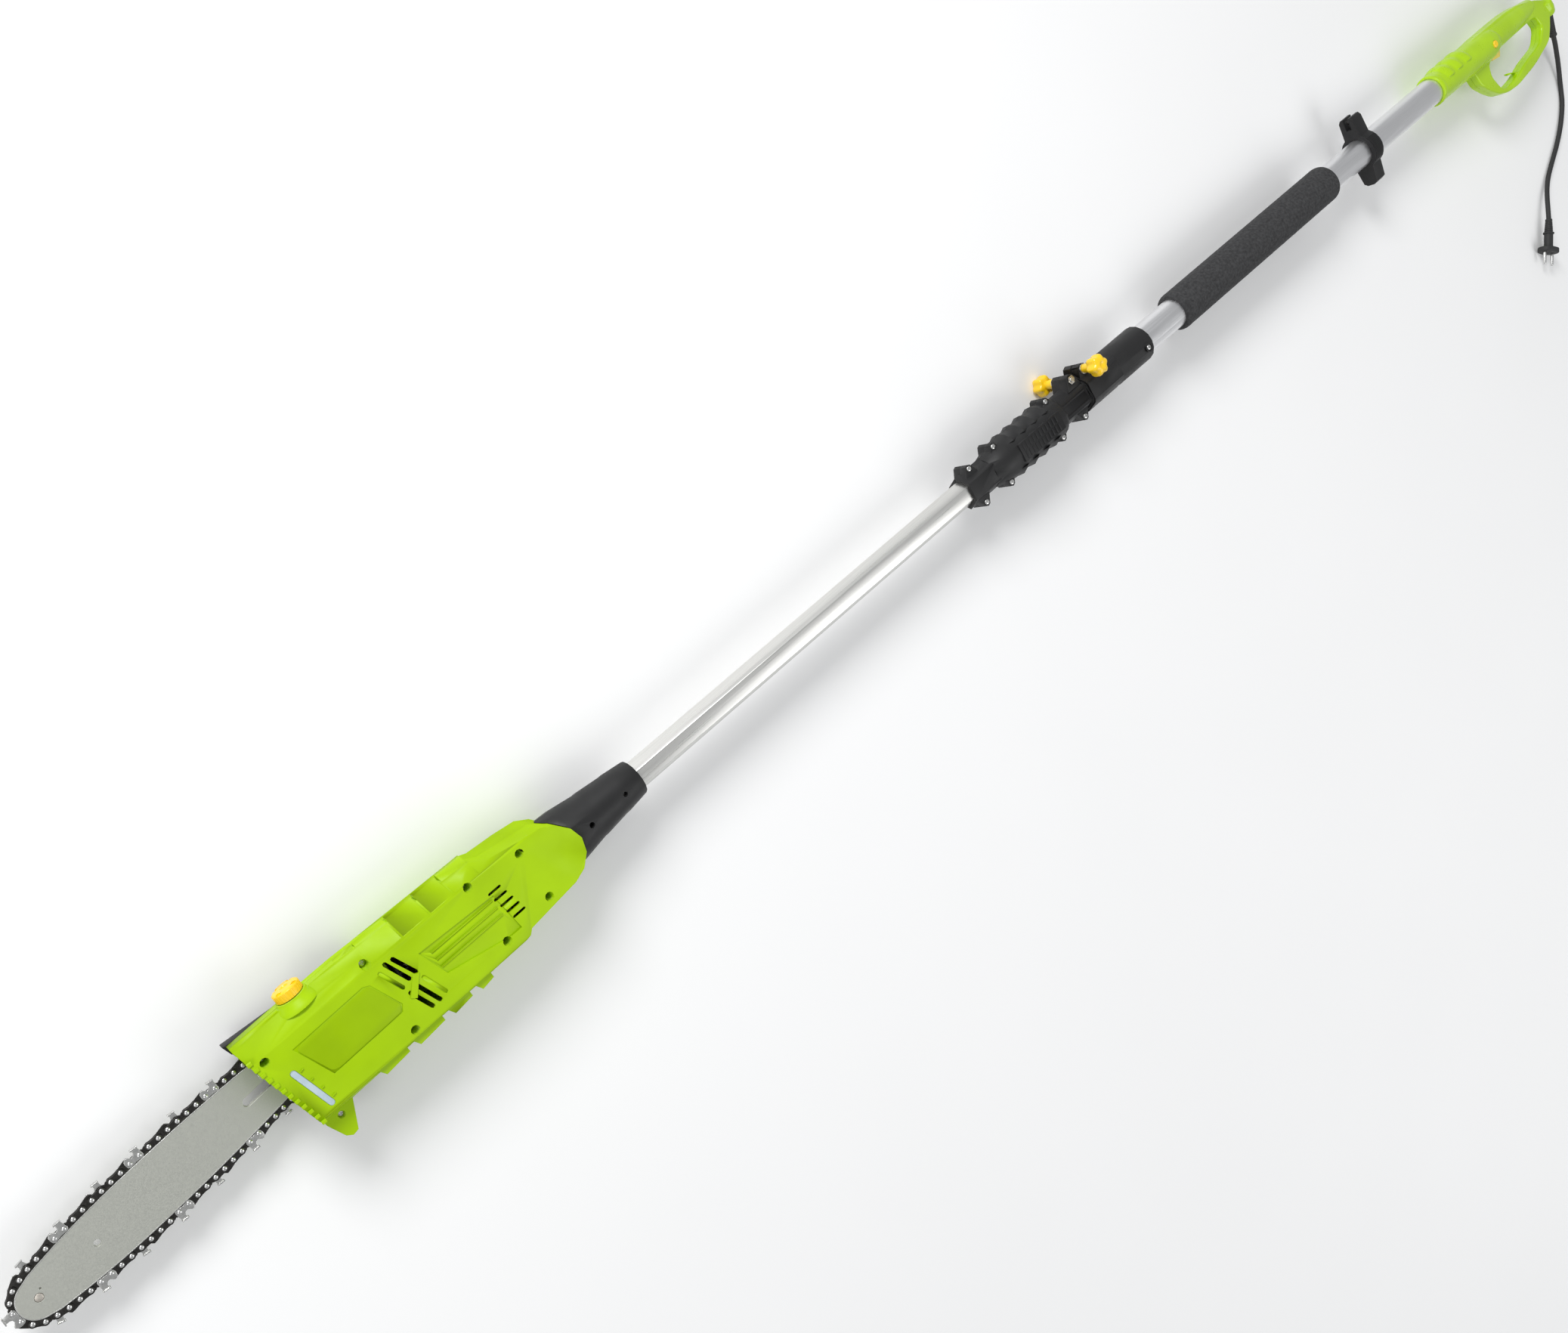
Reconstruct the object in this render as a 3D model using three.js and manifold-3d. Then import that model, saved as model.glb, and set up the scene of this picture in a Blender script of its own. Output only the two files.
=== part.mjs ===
// Corded telescoping pole saw. Millimetres, +Z up, lying on its side: the guide bar, the D-handle
// and every clamshell split are parallel to the XY plane. The pole axis runs along +X, from the
// saw head (-X) to the handle (+X). Shapes are drawn in pole coordinates, where the pole axis is
// Y = 0, Z = 0, and one outer group moves them to the frame at the centre of the base.
import * as THREE from 'three';
import { mergeVertices } from 'three/addons/utils/BufferGeometryUtils.js';
import Module from 'manifold-3d';

// ---- driving dimensions -------------------------------------------------------------------
const GAP = 0.3;                 // clearance between touching pieces
const WALL = 2.6;                // moulded shell wall
const SPLIT = 0.15;              // each clamshell half stops this far from its split plane

const PITCH = 9.525;             // spacing of the chain rivets (3/8 inch low profile)
const RIVETS = 80;               // rivets round the whole chain: 40 drive links
const DRIVE_X = -546;            // drive sprocket
const DRIVE_Y = 6.67;
const BAR_Z = -14;               // mid plane of bar and chain
const BAR_TURN = 3.1 * Math.PI / 180;
const BAR_THICK = 4.6;
const BAR_HALF = 27.6;           // half width of the bar at its widest
const GROOVE_WIDE = 1.4;
const GROOVE_DEEP = 5.5;
const RAIL_LIFT = 3.2;           // rivet centre above the bar rail
const CHAIN_THICK = 5.6;
const CHAIN_HIGH = 3.4;          // top of the tie straps above the rivet centre
const CUTTER_HIGH = 6.2;         // top of a cutter above the rivet centre
const TANG_THICK = 1.1;
const TANG_DEEP = 5.6;           // foot of a drive link below the rivet centre
const NOSE_TEETH = 7;
const DRIVE_TEETH = 6;
const BAR_TAIL = 12;             // bar beyond the inner end of its slot
const SLOT_WIDE = 8.2;
const SLOT_LONG = 78;            // between the centres of the slot's round ends
const SLOT_BEHIND = 29.5;        // from the slot's inner end to the drive sprocket
const TENSION_V = 9.4;           // tensioner hole beside the slot

const HEAD_Z = 33;               // half thickness of the head
const FRONT_X = -638;            // front of the head on the +Y side
const COVER_REAR_X = -505;       // sprocket cover ends here
const COVER_Z = -33;
const SHELF_Z = -10.6;           // underside of the gear case above the bar

const MOTOR_Y = DRIVE_Y;
const MOTOR_Z = -2;
const SHAFT_R = 4;
const STATOR_R = 27;
const STATOR_X = [-480, -410];
const CROWN_TEETH = 32;
const PINION_TEETH = 8;

const NECK_X = [-318, -202];
const NECK_R = [31, 19.5];
const HEX_WALL = 1.6;            // inner pole, a hexagonal tube
const INNER_X = [-272, 785];

const COLLAR_X = [308, 352];     // front clamp collar of the coupling
const GRIP_X = [378, 470];       // its round grip
const REAR_X = [476, 524];       // its rear clamp section
const COLLAR_R = 20.5;           // hexagon circumradius of the clamp sections
const GRIP_R = 27;
const BLOCK_X = [524.6, 581];    // clamp block of the socket
const SLEEVE_X = [581, 646];
const SLEEVE_R = 23.4;

const CLAMP_1 = { x: 512, y: 25 };
const CLAMP_2 = { x: 536, y: 26 };
const KNOB_R = 13;

const OUTER_R = 18.9;            // outer pole
const OUTER_WALL = 1.5;
const POLE_PLAY = 1.6;           // between the inner pole's corners and the outer pole's bore
const HEX_R = OUTER_R - OUTER_WALL - POLE_PLAY;
const POLE_SIDES = 20;           // facets of the round pole and of every bore around it
const OUTER_X = [560, 1418];
const FOAM_X = [718, 1070];
const FOAM_R = 25;
const STRAP_X = [1157, 1178];
const STRAP_R = 25;

const HANDLE_X = [1350, 1690];
const COLLAR_HANDLE_R = 22.4;
const HANDLE_Z = 9.5;            // half thickness of the handle's loop
const LOCK = { x: 1497, y: -1, r: 5.2 };

const CORD_R = 3.5;
const FLOOR_Z = -44.5;           // the saw lies on this level

// ---- materials ----------------------------------------------------------------------------
const paint = (color, roughness, metalness = 0) =>
  new THREE.MeshStandardMaterial({ color, roughness, metalness });
const GREEN = paint(0x9ccc00, 0.45);
const BLACK = paint(0x222325, 0.55);
const YELLOW = paint(0xffc800, 0.35);
const ALU = paint(0xc8cacc, 0.35, 0.9);
const STEEL = paint(0xb4b6b2, 0.4, 0.9);
const DARK_STEEL = paint(0x3a3836, 0.45, 0.8);
const COPPER = paint(0xa8572a, 0.4, 0.9);
const FOAM = paint(0x1c1c1d, 0.95);
const RUBBER = paint(0x1a1a1b, 0.8);
const TANK = paint(0xdfe6ea, 0.5);

// ---- solids -------------------------------------------------------------------------------
const wasm = await Module();
wasm.setup();

// One closed solid from a three.js geometry, with its faces turned outwards.
function solid(geometry) {
  const bare = geometry.clone();
  bare.deleteAttribute('normal');
  bare.deleteAttribute('uv');
  const merged = mergeVertices(bare, 1e-4);
  const points = merged.attributes.position.array;
  const index = merged.index.array;
  const tris = [];
  let volume = 0;
  const corner = (i) => new THREE.Vector3().fromArray(points, 3 * i);
  for (let i = 0; i < index.length; i += 3) {
    const [a, b, c] = [index[i], index[i + 1], index[i + 2]];
    if (a === b || b === c || c === a) continue;
    tris.push(a, b, c);
    volume += corner(a).dot(corner(b).cross(corner(c)));
  }
  if (volume < 0) tris.reverse();
  return new wasm.Manifold(new wasm.Mesh({
    numProp: 3,
    vertProperties: Float32Array.from(points),
    triVerts: Uint32Array.from(tris),
  }));
}

const join = (first, ...rest) => rest.reduce((sum, piece) => sum.add(piece), first);
const cut = (first, ...rest) => rest.reduce((left, piece) => left.subtract(piece), first);
const meet = (first, ...rest) => rest.reduce((common, piece) => common.intersect(piece), first);

const outline = (points) => new THREE.Shape(points.map(([x, y]) => new THREE.Vector2(x, y)));

// A flat outline in XY, given thickness from z0 to z1.
function slab(points, z0, z1, holes = []) {
  const shape = outline(points);
  shape.holes = holes.map((hole) => outline(hole));
  const body = new THREE.ExtrudeGeometry(shape, { depth: z1 - z0, bevelEnabled: false });
  return solid(body.translate(0, 0, z0));
}

// A flat outline in YZ, drawn along X from x0 to x1.
function prismX(points, x0, x1) {
  const body = new THREE.ExtrudeGeometry(outline(points), { depth: x1 - x0, bevelEnabled: false });
  const turn = new THREE.Matrix4().makeBasis(
    new THREE.Vector3(0, 1, 0), new THREE.Vector3(0, 0, 1), new THREE.Vector3(1, 0, 0));
  return solid(body.applyMatrix4(turn).translate(x0, 0, 0));
}

const box = (x0, x1, y0, y1, z0, z1) => solid(
  new THREE.BoxGeometry(x1 - x0, y1 - y0, z1 - z0)
    .translate((x0 + x1) / 2, (y0 + y1) / 2, (z0 + z1) / 2));

const lathe = (profile, sides) =>
  new THREE.LatheGeometry(profile.map(([r, h]) => new THREE.Vector2(r, h)), sides);
// Turned pieces: profiles are [radius, place along the axis].
const turnX = (profile, y = 0, z = 0, sides = 16) =>
  solid(lathe(profile, sides).rotateZ(-Math.PI / 2).translate(0, y, z));
const turnY = (profile, x, z, sides = 16) => solid(lathe(profile, sides).translate(x, 0, z));
const turnZ = (profile, x, y, sides = 16) =>
  solid(lathe(profile, sides).rotateX(Math.PI / 2).translate(x, y, 0));

const rodProfile = (r, a, b) => [[0, a], [r, a], [r, b], [0, b]];
const pipeProfile = (r, bore, a, b) => [[bore, a], [r, a], [r, b], [bore, b], [bore, a]];
const rodX = (r, x0, x1, y = 0, z = 0, sides = 16) => turnX(rodProfile(r, x0, x1), y, z, sides);
const rodY = (r, y0, y1, x, z, sides = 16) => turnY(rodProfile(r, y0, y1), x, z, sides);
const rodZ = (r, z0, z1, x, y, sides = 16) => turnZ(rodProfile(r, z0, z1), x, y, sides);
const pipeX = (r, bore, x0, x1, y = 0, z = 0, sides = 16) =>
  turnX(pipeProfile(r, bore, x0, x1), y, z, sides);
const pipeZ = (r, bore, z0, z1, x, y, sides = 16) =>
  turnZ(pipeProfile(r, bore, z0, z1), x, y, sides);

// Corners of a regular polygon with its flats facing up and down when turned by half a side.
function polygon(sides, radius, turn = 0) {
  return Array.from({ length: sides }, (_, i) => {
    const angle = turn + 2 * Math.PI * i / sides;
    return [radius * Math.cos(angle), radius * Math.sin(angle)];
  });
}

// A long hole with round ends between two points.
function slotOutline(from, to, wide, steps = 6) {
  const along = Math.atan2(to[1] - from[1], to[0] - from[0]);
  const end = ([x, y], start) => Array.from({ length: steps + 1 }, (_, i) => {
    const angle = start + Math.PI * i / steps;
    return [x + wide / 2 * Math.cos(angle), y + wide / 2 * Math.sin(angle)];
  });
  return [...end(to, along - Math.PI / 2), ...end(from, along + Math.PI / 2)];
}

// The same outline moved inwards by a distance, corner by corner (anticlockwise outlines).
function inset(points, distance) {
  const count = points.length;
  return points.map((point, i) => {
    const here = new THREE.Vector2(...point);
    const before = here.clone().sub(new THREE.Vector2(...points[(i + count - 1) % count])).normalize();
    const after = new THREE.Vector2(...points[(i + 1) % count]).sub(here).normalize();
    const inward = new THREE.Vector2(-before.y - after.y, before.x + after.x).normalize();
    const reach = distance / Math.max(0.45, inward.dot(new THREE.Vector2(-before.y, before.x)));
    return [here.x + inward.x * reach, here.y + inward.y * reach];
  });
}

const FAR = 3000;
const above = (body, z) => meet(body, box(-FAR, FAR, -FAR, FAR, z, FAR));
const below = (body, z) => meet(body, box(-FAR, FAR, -FAR, FAR, -FAR, z));
const mirrorZ = (body) => body.mirror([0, 0, 1]);

const whole = new THREE.Group();
function put(name, body, material, parent = whole) {
  const { vertProperties, triVerts } = body.getMesh();
  const geometry = new THREE.BufferGeometry();
  geometry.setAttribute('position', new THREE.BufferAttribute(Float32Array.from(vertProperties), 3));
  geometry.setIndex(new THREE.BufferAttribute(Uint32Array.from(triVerts), 1));
  geometry.computeVertexNormals();
  const mesh = new THREE.Mesh(geometry, material);
  mesh.name = name;
  parent.add(mesh);
  return mesh;
}

// A pan-head screw along Z with its head at z1 (head towards +Z).
const screwZ = (x, y, z0, z1, shank, head, headHigh) => turnZ(
  [[0, z0], [shank, z0], [shank, z1 - headHigh], [head, z1 - headHigh], [head * 0.9, z1], [0, z1]],
  x, y, 10);

// ---- bar and chain ------------------------------------------------------------------------
// Bar coordinates: u from the nose rivet towards the head, v across the bar.
const NOSE_PITCH_R = PITCH / (2 * Math.sin(Math.PI / (2 * NOSE_TEETH)));
const DRIVE_PITCH_R = PITCH / (2 * Math.sin(Math.PI / (2 * DRIVE_TEETH)));
const BELLY_U = 120;             // widest place of the bar
const CHAIN_HALF = BAR_HALF + RAIL_LIFT;

// Half width of the rivet line at u, from the nose circle out to the belly and in to the drive.
function chainHalf(u, driveU) {
  if (u < BELLY_U) {
    const share = (BELLY_U - u) / BELLY_U;
    return CHAIN_HALF - (CHAIN_HALF - NOSE_PITCH_R - 1.6) * share ** 2.4;
  }
  const share = (u - BELLY_U) / (driveU - BELLY_U);
  return CHAIN_HALF - (CHAIN_HALF - DRIVE_PITCH_R) * share ** 2;
}

// Closed rivet line: nose arc, upper flank, drive arc, lower flank, shifted outwards by lift.
function chainLine(driveU, lift, flankSteps = 22) {
  const upper = [];
  for (let i = 0; i <= flankSteps; i += 1) {
    const u = 5 + (driveU - 5) * i / flankSteps;
    upper.push([u, chainHalf(u, driveU) + lift]);
  }
  const arc = (u, r, from, to, steps) => Array.from({ length: steps + 1 }, (_, i) => {
    const angle = from + (to - from) * i / steps;
    return [u + r * Math.cos(angle), r * Math.sin(angle)];
  });
  const nose = arc(0, NOSE_PITCH_R + lift, 1.75, 2 * Math.PI - 1.75, 10);
  const drive = arc(driveU, DRIVE_PITCH_R + lift, -Math.PI / 2 + 0.2, Math.PI / 2 - 0.2, 8);
  const lower = upper.map(([u, v]) => [u, -v]);
  return [...lower, ...drive, ...upper.reverse(), ...nose];
}

const lineLength = (points) => points.reduce((sum, [u, v], i) => {
  const [nextU, nextV] = points[(i + 1) % points.length];
  return sum + Math.hypot(nextU - u, nextV - v);
}, 0);

// The drive sprocket sits where the whole rivet line is exactly as long as the chain.
let driveU = 300;
for (let i = 0; i < 30; i += 1) driveU += (RIVETS * PITCH - lineLength(chainLine(driveU, 0))) / 2;

const SLOT_TO = driveU - SLOT_BEHIND;
const SLOT_FROM = SLOT_TO - SLOT_LONG;
const NOSE_X = DRIVE_X - driveU * Math.cos(BAR_TURN);
const NOSE_Y = DRIVE_Y - driveU * Math.sin(BAR_TURN);
const toPole = ([u, v]) => [
  NOSE_X + u * Math.cos(BAR_TURN) - v * Math.sin(BAR_TURN),
  NOSE_Y + u * Math.sin(BAR_TURN) + v * Math.cos(BAR_TURN),
];
const barSlab = (points, z0, z1, holes = []) =>
  slab(points.map(toPole), BAR_Z + z0, BAR_Z + z1, holes.map((hole) => hole.map(toPole)));

// Point and direction at a distance along a closed line.
function along(points, distance) {
  let left = distance;
  for (let i = 0; ; i = (i + 1) % points.length) {
    const [a, b] = [points[i], points[(i + 1) % points.length]];
    const step = Math.hypot(b[0] - a[0], b[1] - a[1]);
    if (left <= step) {
      const share = left / step;
      const dir = [(b[0] - a[0]) / step, (b[1] - a[1]) / step];
      return { at: [a[0] + (b[0] - a[0]) * share, a[1] + (b[1] - a[1]) * share], dir };
    }
    left -= step;
  }
}

function barOutline(lift) {
  const tailU = SLOT_TO + BAR_TAIL;
  const flank = [];
  for (let i = 0; i <= 9; i += 1) {
    const u = 5 + (tailU - 5) * i / 9;
    flank.push([u, chainHalf(u, driveU) - RAIL_LIFT + lift]);
  }
  const noseR = NOSE_PITCH_R - RAIL_LIFT + lift;
  const nose = Array.from({ length: 11 }, (_, i) => {
    const angle = 1.75 + (2 * Math.PI - 3.5) * i / 10;
    return [noseR * Math.cos(angle), noseR * Math.sin(angle)];
  });
  return [...flank.map(([u, v]) => [u, -v]), ...flank.reverse(), ...nose];
}

function makeBar() {
  const half = BAR_THICK / 2;
  const groove = GROOVE_WIDE / 2;
  const hole = polygon(16, 3.2).map(([u, v]) => [u + 56, v]);
  const slot = slotOutline([SLOT_FROM, 0], [SLOT_TO, 0], SLOT_WIDE);
  const tension = polygon(12, 3).map(([u, v]) => [u + SLOT_TO - 14, v + TENSION_V]);
  const rivet = polygon(16, 3.6 + GAP);
  const holes = [hole, slot, tension, rivet];
  const core = barOutline(-GROOVE_DEEP).filter(([u]) => u > 20);
  return join(
    barSlab(barOutline(0), -half, -groove, holes),
    barSlab(core, -groove - 0.02, groove + 0.02, [hole, slot, tension]),
    barSlab(barOutline(0), groove, half, holes));
}

function makeChain() {
  const half = CHAIN_THICK / 2;
  const line = chainLine(driveU, 0, 30);
  const total = lineLength(line);
  const outer = [];
  for (let i = 0; i < RIVETS; i += 1) {
    const { at, dir } = along(line, total * (i + 0.4) / RIVETS);
    const lift = i % 4 === 0 ? CUTTER_HIGH : CHAIN_HIGH;
    outer.push([at[0] + dir[1] * lift, at[1] - dir[0] * lift]);
  }
  const inner = chainLine(driveU, -RAIL_LIFT + GAP, 12).reverse();
  const tang = chainLine(driveU, -TANG_DEEP, 12).reverse();
  const lower = chainLine(driveU, -1, 12);
  return join(
    barSlab(outer, -half, half, [inner]),
    barSlab(lower, -TANG_THICK / 2, TANG_THICK / 2, [tang]));
}

// Toothed disc in the bar plane: gullets are plain notches between the teeth.
function toothed(teeth, root, tip, share = 0.3, turn = 0) {
  const points = [];
  for (let i = 0; i < teeth; i += 1) {
    const middle = turn + 2 * Math.PI * i / teeth;
    const half = Math.PI * share / teeth;
    const foot = Math.PI * (share + 0.35) / teeth;
    for (const [angle, r] of [[-foot, root], [-half, tip], [half, tip], [foot, root]]) {
      points.push([r * Math.cos(middle + angle), r * Math.sin(middle + angle)]);
    }
  }
  return points;
}

put('guide_bar', makeBar(), STEEL);
put('saw_chain', makeChain(), DARK_STEEL);
put('nose_sprocket', barSlab(toothed(NOSE_TEETH, 9.5, NOSE_PITCH_R - TANG_DEEP - 0.5), -0.5, 0.5,
  [polygon(16, 3.2)]), STEEL);
put('nose_rivet', turnZ([[0, BAR_Z - 2.5], [3.6, BAR_Z - 2.5], [3.6, BAR_Z - 0.8], [2.9, BAR_Z - 0.8],
  [2.9, BAR_Z + 0.8], [3.6, BAR_Z + 0.8], [3.6, BAR_Z + 2.5], [0, BAR_Z + 2.5]], NOSE_X, NOSE_Y, 16),
STEEL);

// ---- drive: motor, gears, sprocket ----------------------------------------------------------
function makeDriveSprocket() {
  const teeth = toothed(DRIVE_TEETH, 9.5, DRIVE_PITCH_R - TANG_DEEP - 0.5)
    .map(([x, y]) => [x + DRIVE_X, y + DRIVE_Y]);
  const star = slab(teeth, BAR_Z - 2, BAR_Z + 2);
  const hub = rodZ(7, BAR_Z - 6, BAR_Z + 2, DRIVE_X, DRIVE_Y, 16);
  return cut(join(star, hub), rodZ(SHAFT_R + 0.1, -40, 10, DRIVE_X, DRIVE_Y, 16));
}

const CROWN_Z = MOTOR_Z + 5.6;   // root plane of the crown gear's teeth, which face -Z
function makeCrownGear() {
  let gear = turnZ([[SHAFT_R + 0.1, CROWN_Z], [21.5, CROWN_Z], [21.5, CROWN_Z + 4], [9, CROWN_Z + 4],
    [9, CROWN_Z + 6.5], [SHAFT_R + 0.1, CROWN_Z + 6.5], [SHAFT_R + 0.1, CROWN_Z]], DRIVE_X, DRIVE_Y, 24);
  for (let i = 0; i < CROWN_TEETH; i += 1) {
    const tooth = new THREE.BoxGeometry(7, 1, 2).translate(17.7, 0, CROWN_Z - 0.8);
    tooth.rotateZ(2 * Math.PI * (i + 0.5) / CROWN_TEETH).translate(DRIVE_X, DRIVE_Y, 0);
    gear = gear.add(solid(tooth));
  }
  return gear;
}

const PINION_X = [DRIVE_X + 14.6, DRIVE_X + 20.4];
function makePinion() {
  const teeth = toothed(PINION_TEETH, 3.4, 5, 0.3, Math.PI / 2)
    .map(([y, z]) => [y + MOTOR_Y, z + MOTOR_Z]);
  const bore = rodX(2.5, PINION_X[0] - 1, PINION_X[1] + 1, MOTOR_Y, MOTOR_Z, 12);
  return cut(prismX(teeth, ...PINION_X), bore);
}

const FRONT_BEARING_X = [-502, -496];
const REAR_BEARING_X = [-384, -377];
const FAN_X = [-494, -483];
const COMMUTATOR_X = [-403, -391];

function makeArmature() {
  return turnX([[0, PINION_X[0] - 1], [2.3, PINION_X[0] - 1], [2.3, PINION_X[1] + 2],
    [SHAFT_R, PINION_X[1] + 2], [SHAFT_R, STATOR_X[0] + 3], [15.5, STATOR_X[0] + 3],
    [15.5, STATOR_X[1] - 3], [SHAFT_R, STATOR_X[1] - 3], [SHAFT_R, REAR_BEARING_X[1] + 4],
    [0, REAR_BEARING_X[1] + 4]], MOTOR_Y, MOTOR_Z, 14);
}

function makeFan() {
  let fan = pipeX(25, SHAFT_R + 0.2, FAN_X[0], FAN_X[0] + 2, MOTOR_Y, MOTOR_Z, 24);
  fan = fan.add(pipeX(9, SHAFT_R + 0.2, FAN_X[0], FAN_X[1], MOTOR_Y, MOTOR_Z, 16));
  for (let i = 0; i < 9; i += 1) {
    const blade = new THREE.BoxGeometry(FAN_X[1] - FAN_X[0] - 2, 17, 1.4);
    blade.translate((FAN_X[0] + FAN_X[1]) / 2 + 1, 16, 0).rotateX(2 * Math.PI * i / 9);
    fan = fan.add(solid(blade.translate(0, MOTOR_Y, MOTOR_Z)));
  }
  return fan;
}

function makeStator() {
  const ring = pipeX(STATOR_R, 16.2, ...STATOR_X, MOTOR_Y, MOTOR_Z, 24);
  const flats = box(-600, -300, MOTOR_Y - FAR, MOTOR_Y + FAR, MOTOR_Z - 25, MOTOR_Z + 25);
  return meet(ring, flats);
}

put('drive_sprocket', makeDriveSprocket(), DARK_STEEL);
put('crown_gear', makeCrownGear(), DARK_STEEL);
put('sprocket_shaft', turnZ([[0, BAR_Z - 10], [SHAFT_R, BAR_Z - 10], [SHAFT_R, CROWN_Z + 11],
  [0, CROWN_Z + 11]], DRIVE_X, DRIVE_Y, 16), STEEL);
put('motor_pinion', makePinion(), STEEL);
put('motor_armature', makeArmature(), DARK_STEEL);
put('commutator', pipeX(9.5, SHAFT_R + 0.1, ...COMMUTATOR_X, MOTOR_Y, MOTOR_Z, 14), COPPER);
put('cooling_fan', makeFan(), BLACK);
put('motor_stator', makeStator(), COPPER);
put('front_bearing', pipeX(10, SHAFT_R + 0.15, ...FRONT_BEARING_X, MOTOR_Y, MOTOR_Z, 14), STEEL);
put('rear_bearing', pipeX(10, SHAFT_R + 0.15, ...REAR_BEARING_X, MOTOR_Y, MOTOR_Z, 14), STEEL);
put('gear_bearing', pipeZ(9, SHAFT_R + 0.15, CROWN_Z + 7, CROWN_Z + 11, DRIVE_X, DRIVE_Y, 14), STEEL);
for (const [name, side] of [['brush_upper', 1], ['brush_lower', -1]]) {
  const near = MOTOR_Y + side * 9.9;
  const far = MOTOR_Y + side * 20;
  put(name, box(COMMUTATOR_X[0] + 2, COMMUTATOR_X[1] - 2, Math.min(near, far), Math.max(near, far),
    MOTOR_Z - 3.5, MOTOR_Z + 3.5), DARK_STEEL);
}

// ---- head casing ----------------------------------------------------------------------------
// Outline of the head seen on its face, anticlockwise from the lower front corner.
const HEAD_OUTLINE = [
  [-618, -56], [-582, -52], [-530, -49.5], [-487, -46.5], [-440, -46], [-386, -44], [-377, -35.5],
  [-318, -30], [-304, -25], [-293, -14], [-289, 0], [-293, 14], [-303, 26], [-316, 34],
  [-372, 42], [-384, 49], [-443, 51], [-497, 53], [-528, 54.5], [-560, 54], [FRONT_X, 52],
];
const HOOK_OUTLINE = [[-584, -44], [-618, -44], [-618, -55], [-611, -74], [-606, -78], [-600, -77]];
const HEAD_SCREWS = [[-624, 33], [-512, 40.5], [-402, 35], [-346, 28],
  [-346.5, -23.5], [-402, -29.5], [-513, -35]];
const HOOK_SCREW = [-603, -56];
const LONG_SCREW = HEAD_SCREWS[3];
const BOSS_R = 6;
const RECESS_R = 4.6;
const SCREW_SEAT_Z = 14;
const CAP = { x: -573, z: 8, top: 66.5, foot: 57.4, r: 13.4 };
const WINDOW = { from: [-612.5, 9], to: [-603.5, -34], wide: 6 };

const STUD_R = 3.9;
const STUD = toPole([SLOT_TO - 26, 0]);
const TENSION = toPole([SLOT_TO - 14, TENSION_V]);
const TENSION_Z = -4.6;
const TENSION_TRAVEL = [[TENSION[0] - 1.5, TENSION[1]], [TENSION[0] + 4, TENSION[1] + 0.3]];

// Cross-section of the head, thinner by `off` all round: a flat face and two sloping cheeks.
const headSection = (off) => [
  [-62 + off, -2], [62 - off, -2], [57 - off, 6], [37.5 - off * 0.7, HEAD_Z - off],
  [-40 + off * 0.7, HEAD_Z - off], [-52.5 + off, 10],
];
const headForm = (points, off) =>
  meet(slab(points, 0, HEAD_Z + 1), prismX(headSection(off), -660, -260));

const strip = (from, to, wide, z0, z1) => slab(slotOutline(from, to, wide, 3), z0, z1);

// Stepped grip ribs on the upper cheek.
function gripSteps() {
  const steps = [[-528, -509, 0.6], [-507, -474, 1.2], [-472, -443, 1.4], [-441, -416, 1.4], [-414, -386, 1]];
  return join(...steps.map(([x0, x1, lift]) => prismX(
    [[30, 20], [52, 2], [54.5 + lift, 2.5], [53.5 + lift, 9], [38 + lift, 31.5], [34, 32]], x0, x1)));
}

function lowerSteps() {
  const steps = [[-560, -527], [-522, -487], [-482, -455], [-450, -430]];
  return join(...steps.map(([x0, x1]) => slab(
    [[x0, -40], [x1 - 3, -40], [x1, -42], [x1, -49], [x0 + 6, -51]], 4, 27)));
}

const fillerHole = () => rodY(11.6, 40, 60, CAP.x, CAP.z, 20);
const fillerBoss = () => turnY([[11.6, 44], [21, 46], [19, 50], [15.6, 54], [14.6, 56.6], [11.6, 56.6],
  [11.6, 44]], CAP.x, CAP.z, 24);
const spigotHole = () => rodX(20.4, -320, -280, 0, 0, 16);

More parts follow.
